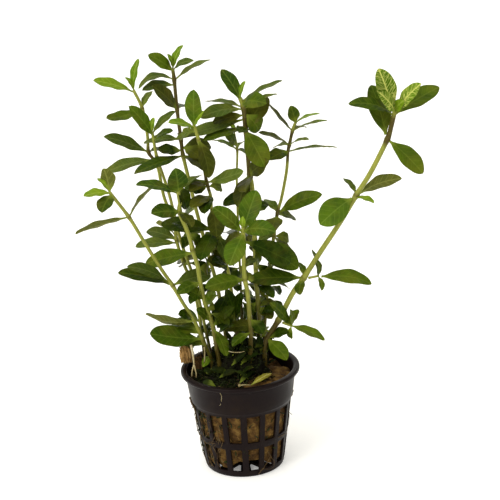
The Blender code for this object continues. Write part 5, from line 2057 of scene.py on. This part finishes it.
def leaf_skins() -> dict[LeafKind, tuple[Material, Material]]:
    """Make the upper and lower finish of each kind of leaf.

    Returns:
        The pair of materials for each kind.
    """
    # The underside is paler, greyer and rougher, with veins that stand out more.
    under = LeafSkin("leaf_underside", "70732f", "4c521b", "8f9448", 0.4, 0.1, 0.55, relief=0.6)
    lower = under.build()
    uppers = {
        # Full grown: a dull mid green that darkens in patches.
        MATURE: LeafSkin("waxy_green_leaf", "5f7412", "2d4005", "7d8c30", 0.2),
        # Full grown in good light: a cleaner, stronger green.
        LUSH: LeafSkin("lush_green_leaf", "5a7512", "2b4109", "849a3a", 0.22),
        # Young leaves at the tips: light yellow green, hardly aged.
        FRESH: LeafSkin("fresh_tip_leaf", "83991f", "53720c", "a9b84e", 0.33, 0.08, ageing=0.12),
        # Shaded leaves: a deep green darkened to nearly black green with painted shade, and the
        # smoothest.
        DEEP: LeafSkin("deep_green_painted_shade_leaf", "3d540b", "1a2a03", "50651a", 0.2, 0.03, 0.26, 0.15),
        # The right-hand tip: a cream net of veins on light green.
        NETTED: LeafSkin("pale_netted_leaf", "67871a", "48650f", "cfd16c", 0.75, 0.75, ageing=0.0),
        # Older leaves: green that turns to brown.
        BRONZED: LeafSkin("bronzed_leaf", "616719", "363c0c", "6c722c", 0.25),
        # Greyish green leaves: a paler, greyer green that is partly their own tone and partly
        # painted sheen, and duller.
        DUSTY: LeafSkin("grey_green_painted_sheen_leaf", "6a7a2e", "3e4f16", "84904a", 0.25, 0.05, 0.5),
        # Small old leaves in the moss: very dark, partly their own colour and partly painted shade.
        OLD: LeafSkin("old_moss_leaf_painted_shade", "26380c", "0f1604", "3a4818", 0.2, 0.05, 0.5, 0.1),
        # The fallen leaf: straw yellow with brown patches.
        DEAD: LeafSkin("dead_yellow_leaf", "a9a03c", "77701f", "c8bf70", 0.5, 0.1, 0.6),
    }
    return {kind: (skin.build(), lower) for kind, skin in uppers.items()}


def main() -> None:
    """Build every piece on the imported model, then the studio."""
    logging.basicConfig(level=logging.INFO, format="%(message)s")
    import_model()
    skins = leaf_skins()
    form = BladeForm()
    bark = StemSkin().build()
    pot = NetPot()
    pot.build(MouldedPlastic().build())
    # Wet wool, brown with lighter tufts; its loose fibres, paler; and the torn lump, dry and tan.
    wool = FibreSkin("matted_rock_wool", "8f7038", "5d4320", "28190b", clump=4.2)
    strand = FibreSkin("loose_rock_wool_fibre", "a08046", "70532a", "41301a", relief=0.2)
    torn = FibreSkin("torn_rock_wool", "c6a068", "a37e4a", "755630", clump=1.6, drawn=3.5)
    RockWoolPlug(pot).build(wool.build(), strand.build(), torn.build())
    # Moss, nearly black with a green cast, and its sprigs, a little greener.
    moss = FibreSkin("packed_moss", "23260f", "171609", "0e0a05")
    sprig = FibreSkin("moss_sprig", "313f11", "1f270a", "131106", relief=0.2, roughness=0.6)
    MossMat(pot).build(form, moss.build(), sprig.build(), skins[OLD])
    for stem in STEMS:
        stem.build(form, skins, bark)
    # Roots: cream where they live, brown where they are old.
    pale = FibreSkin("living_root", "d8cfae", "b9ab7f", "8d7c50", relief=0.2, roughness=0.6)
    dark = FibreSkin("old_root", "8d7a55", "5f4b2c", "33261a", relief=0.2, roughness=0.7)
    root = pale.build()
    FineRoots(pot).build(root, dark.build())
    FallenLeaf().build(form, (skins[DEAD][0],) * 2, root)
    Studio().build(SweepPaper().build())


if __name__ == "__main__":
    main()
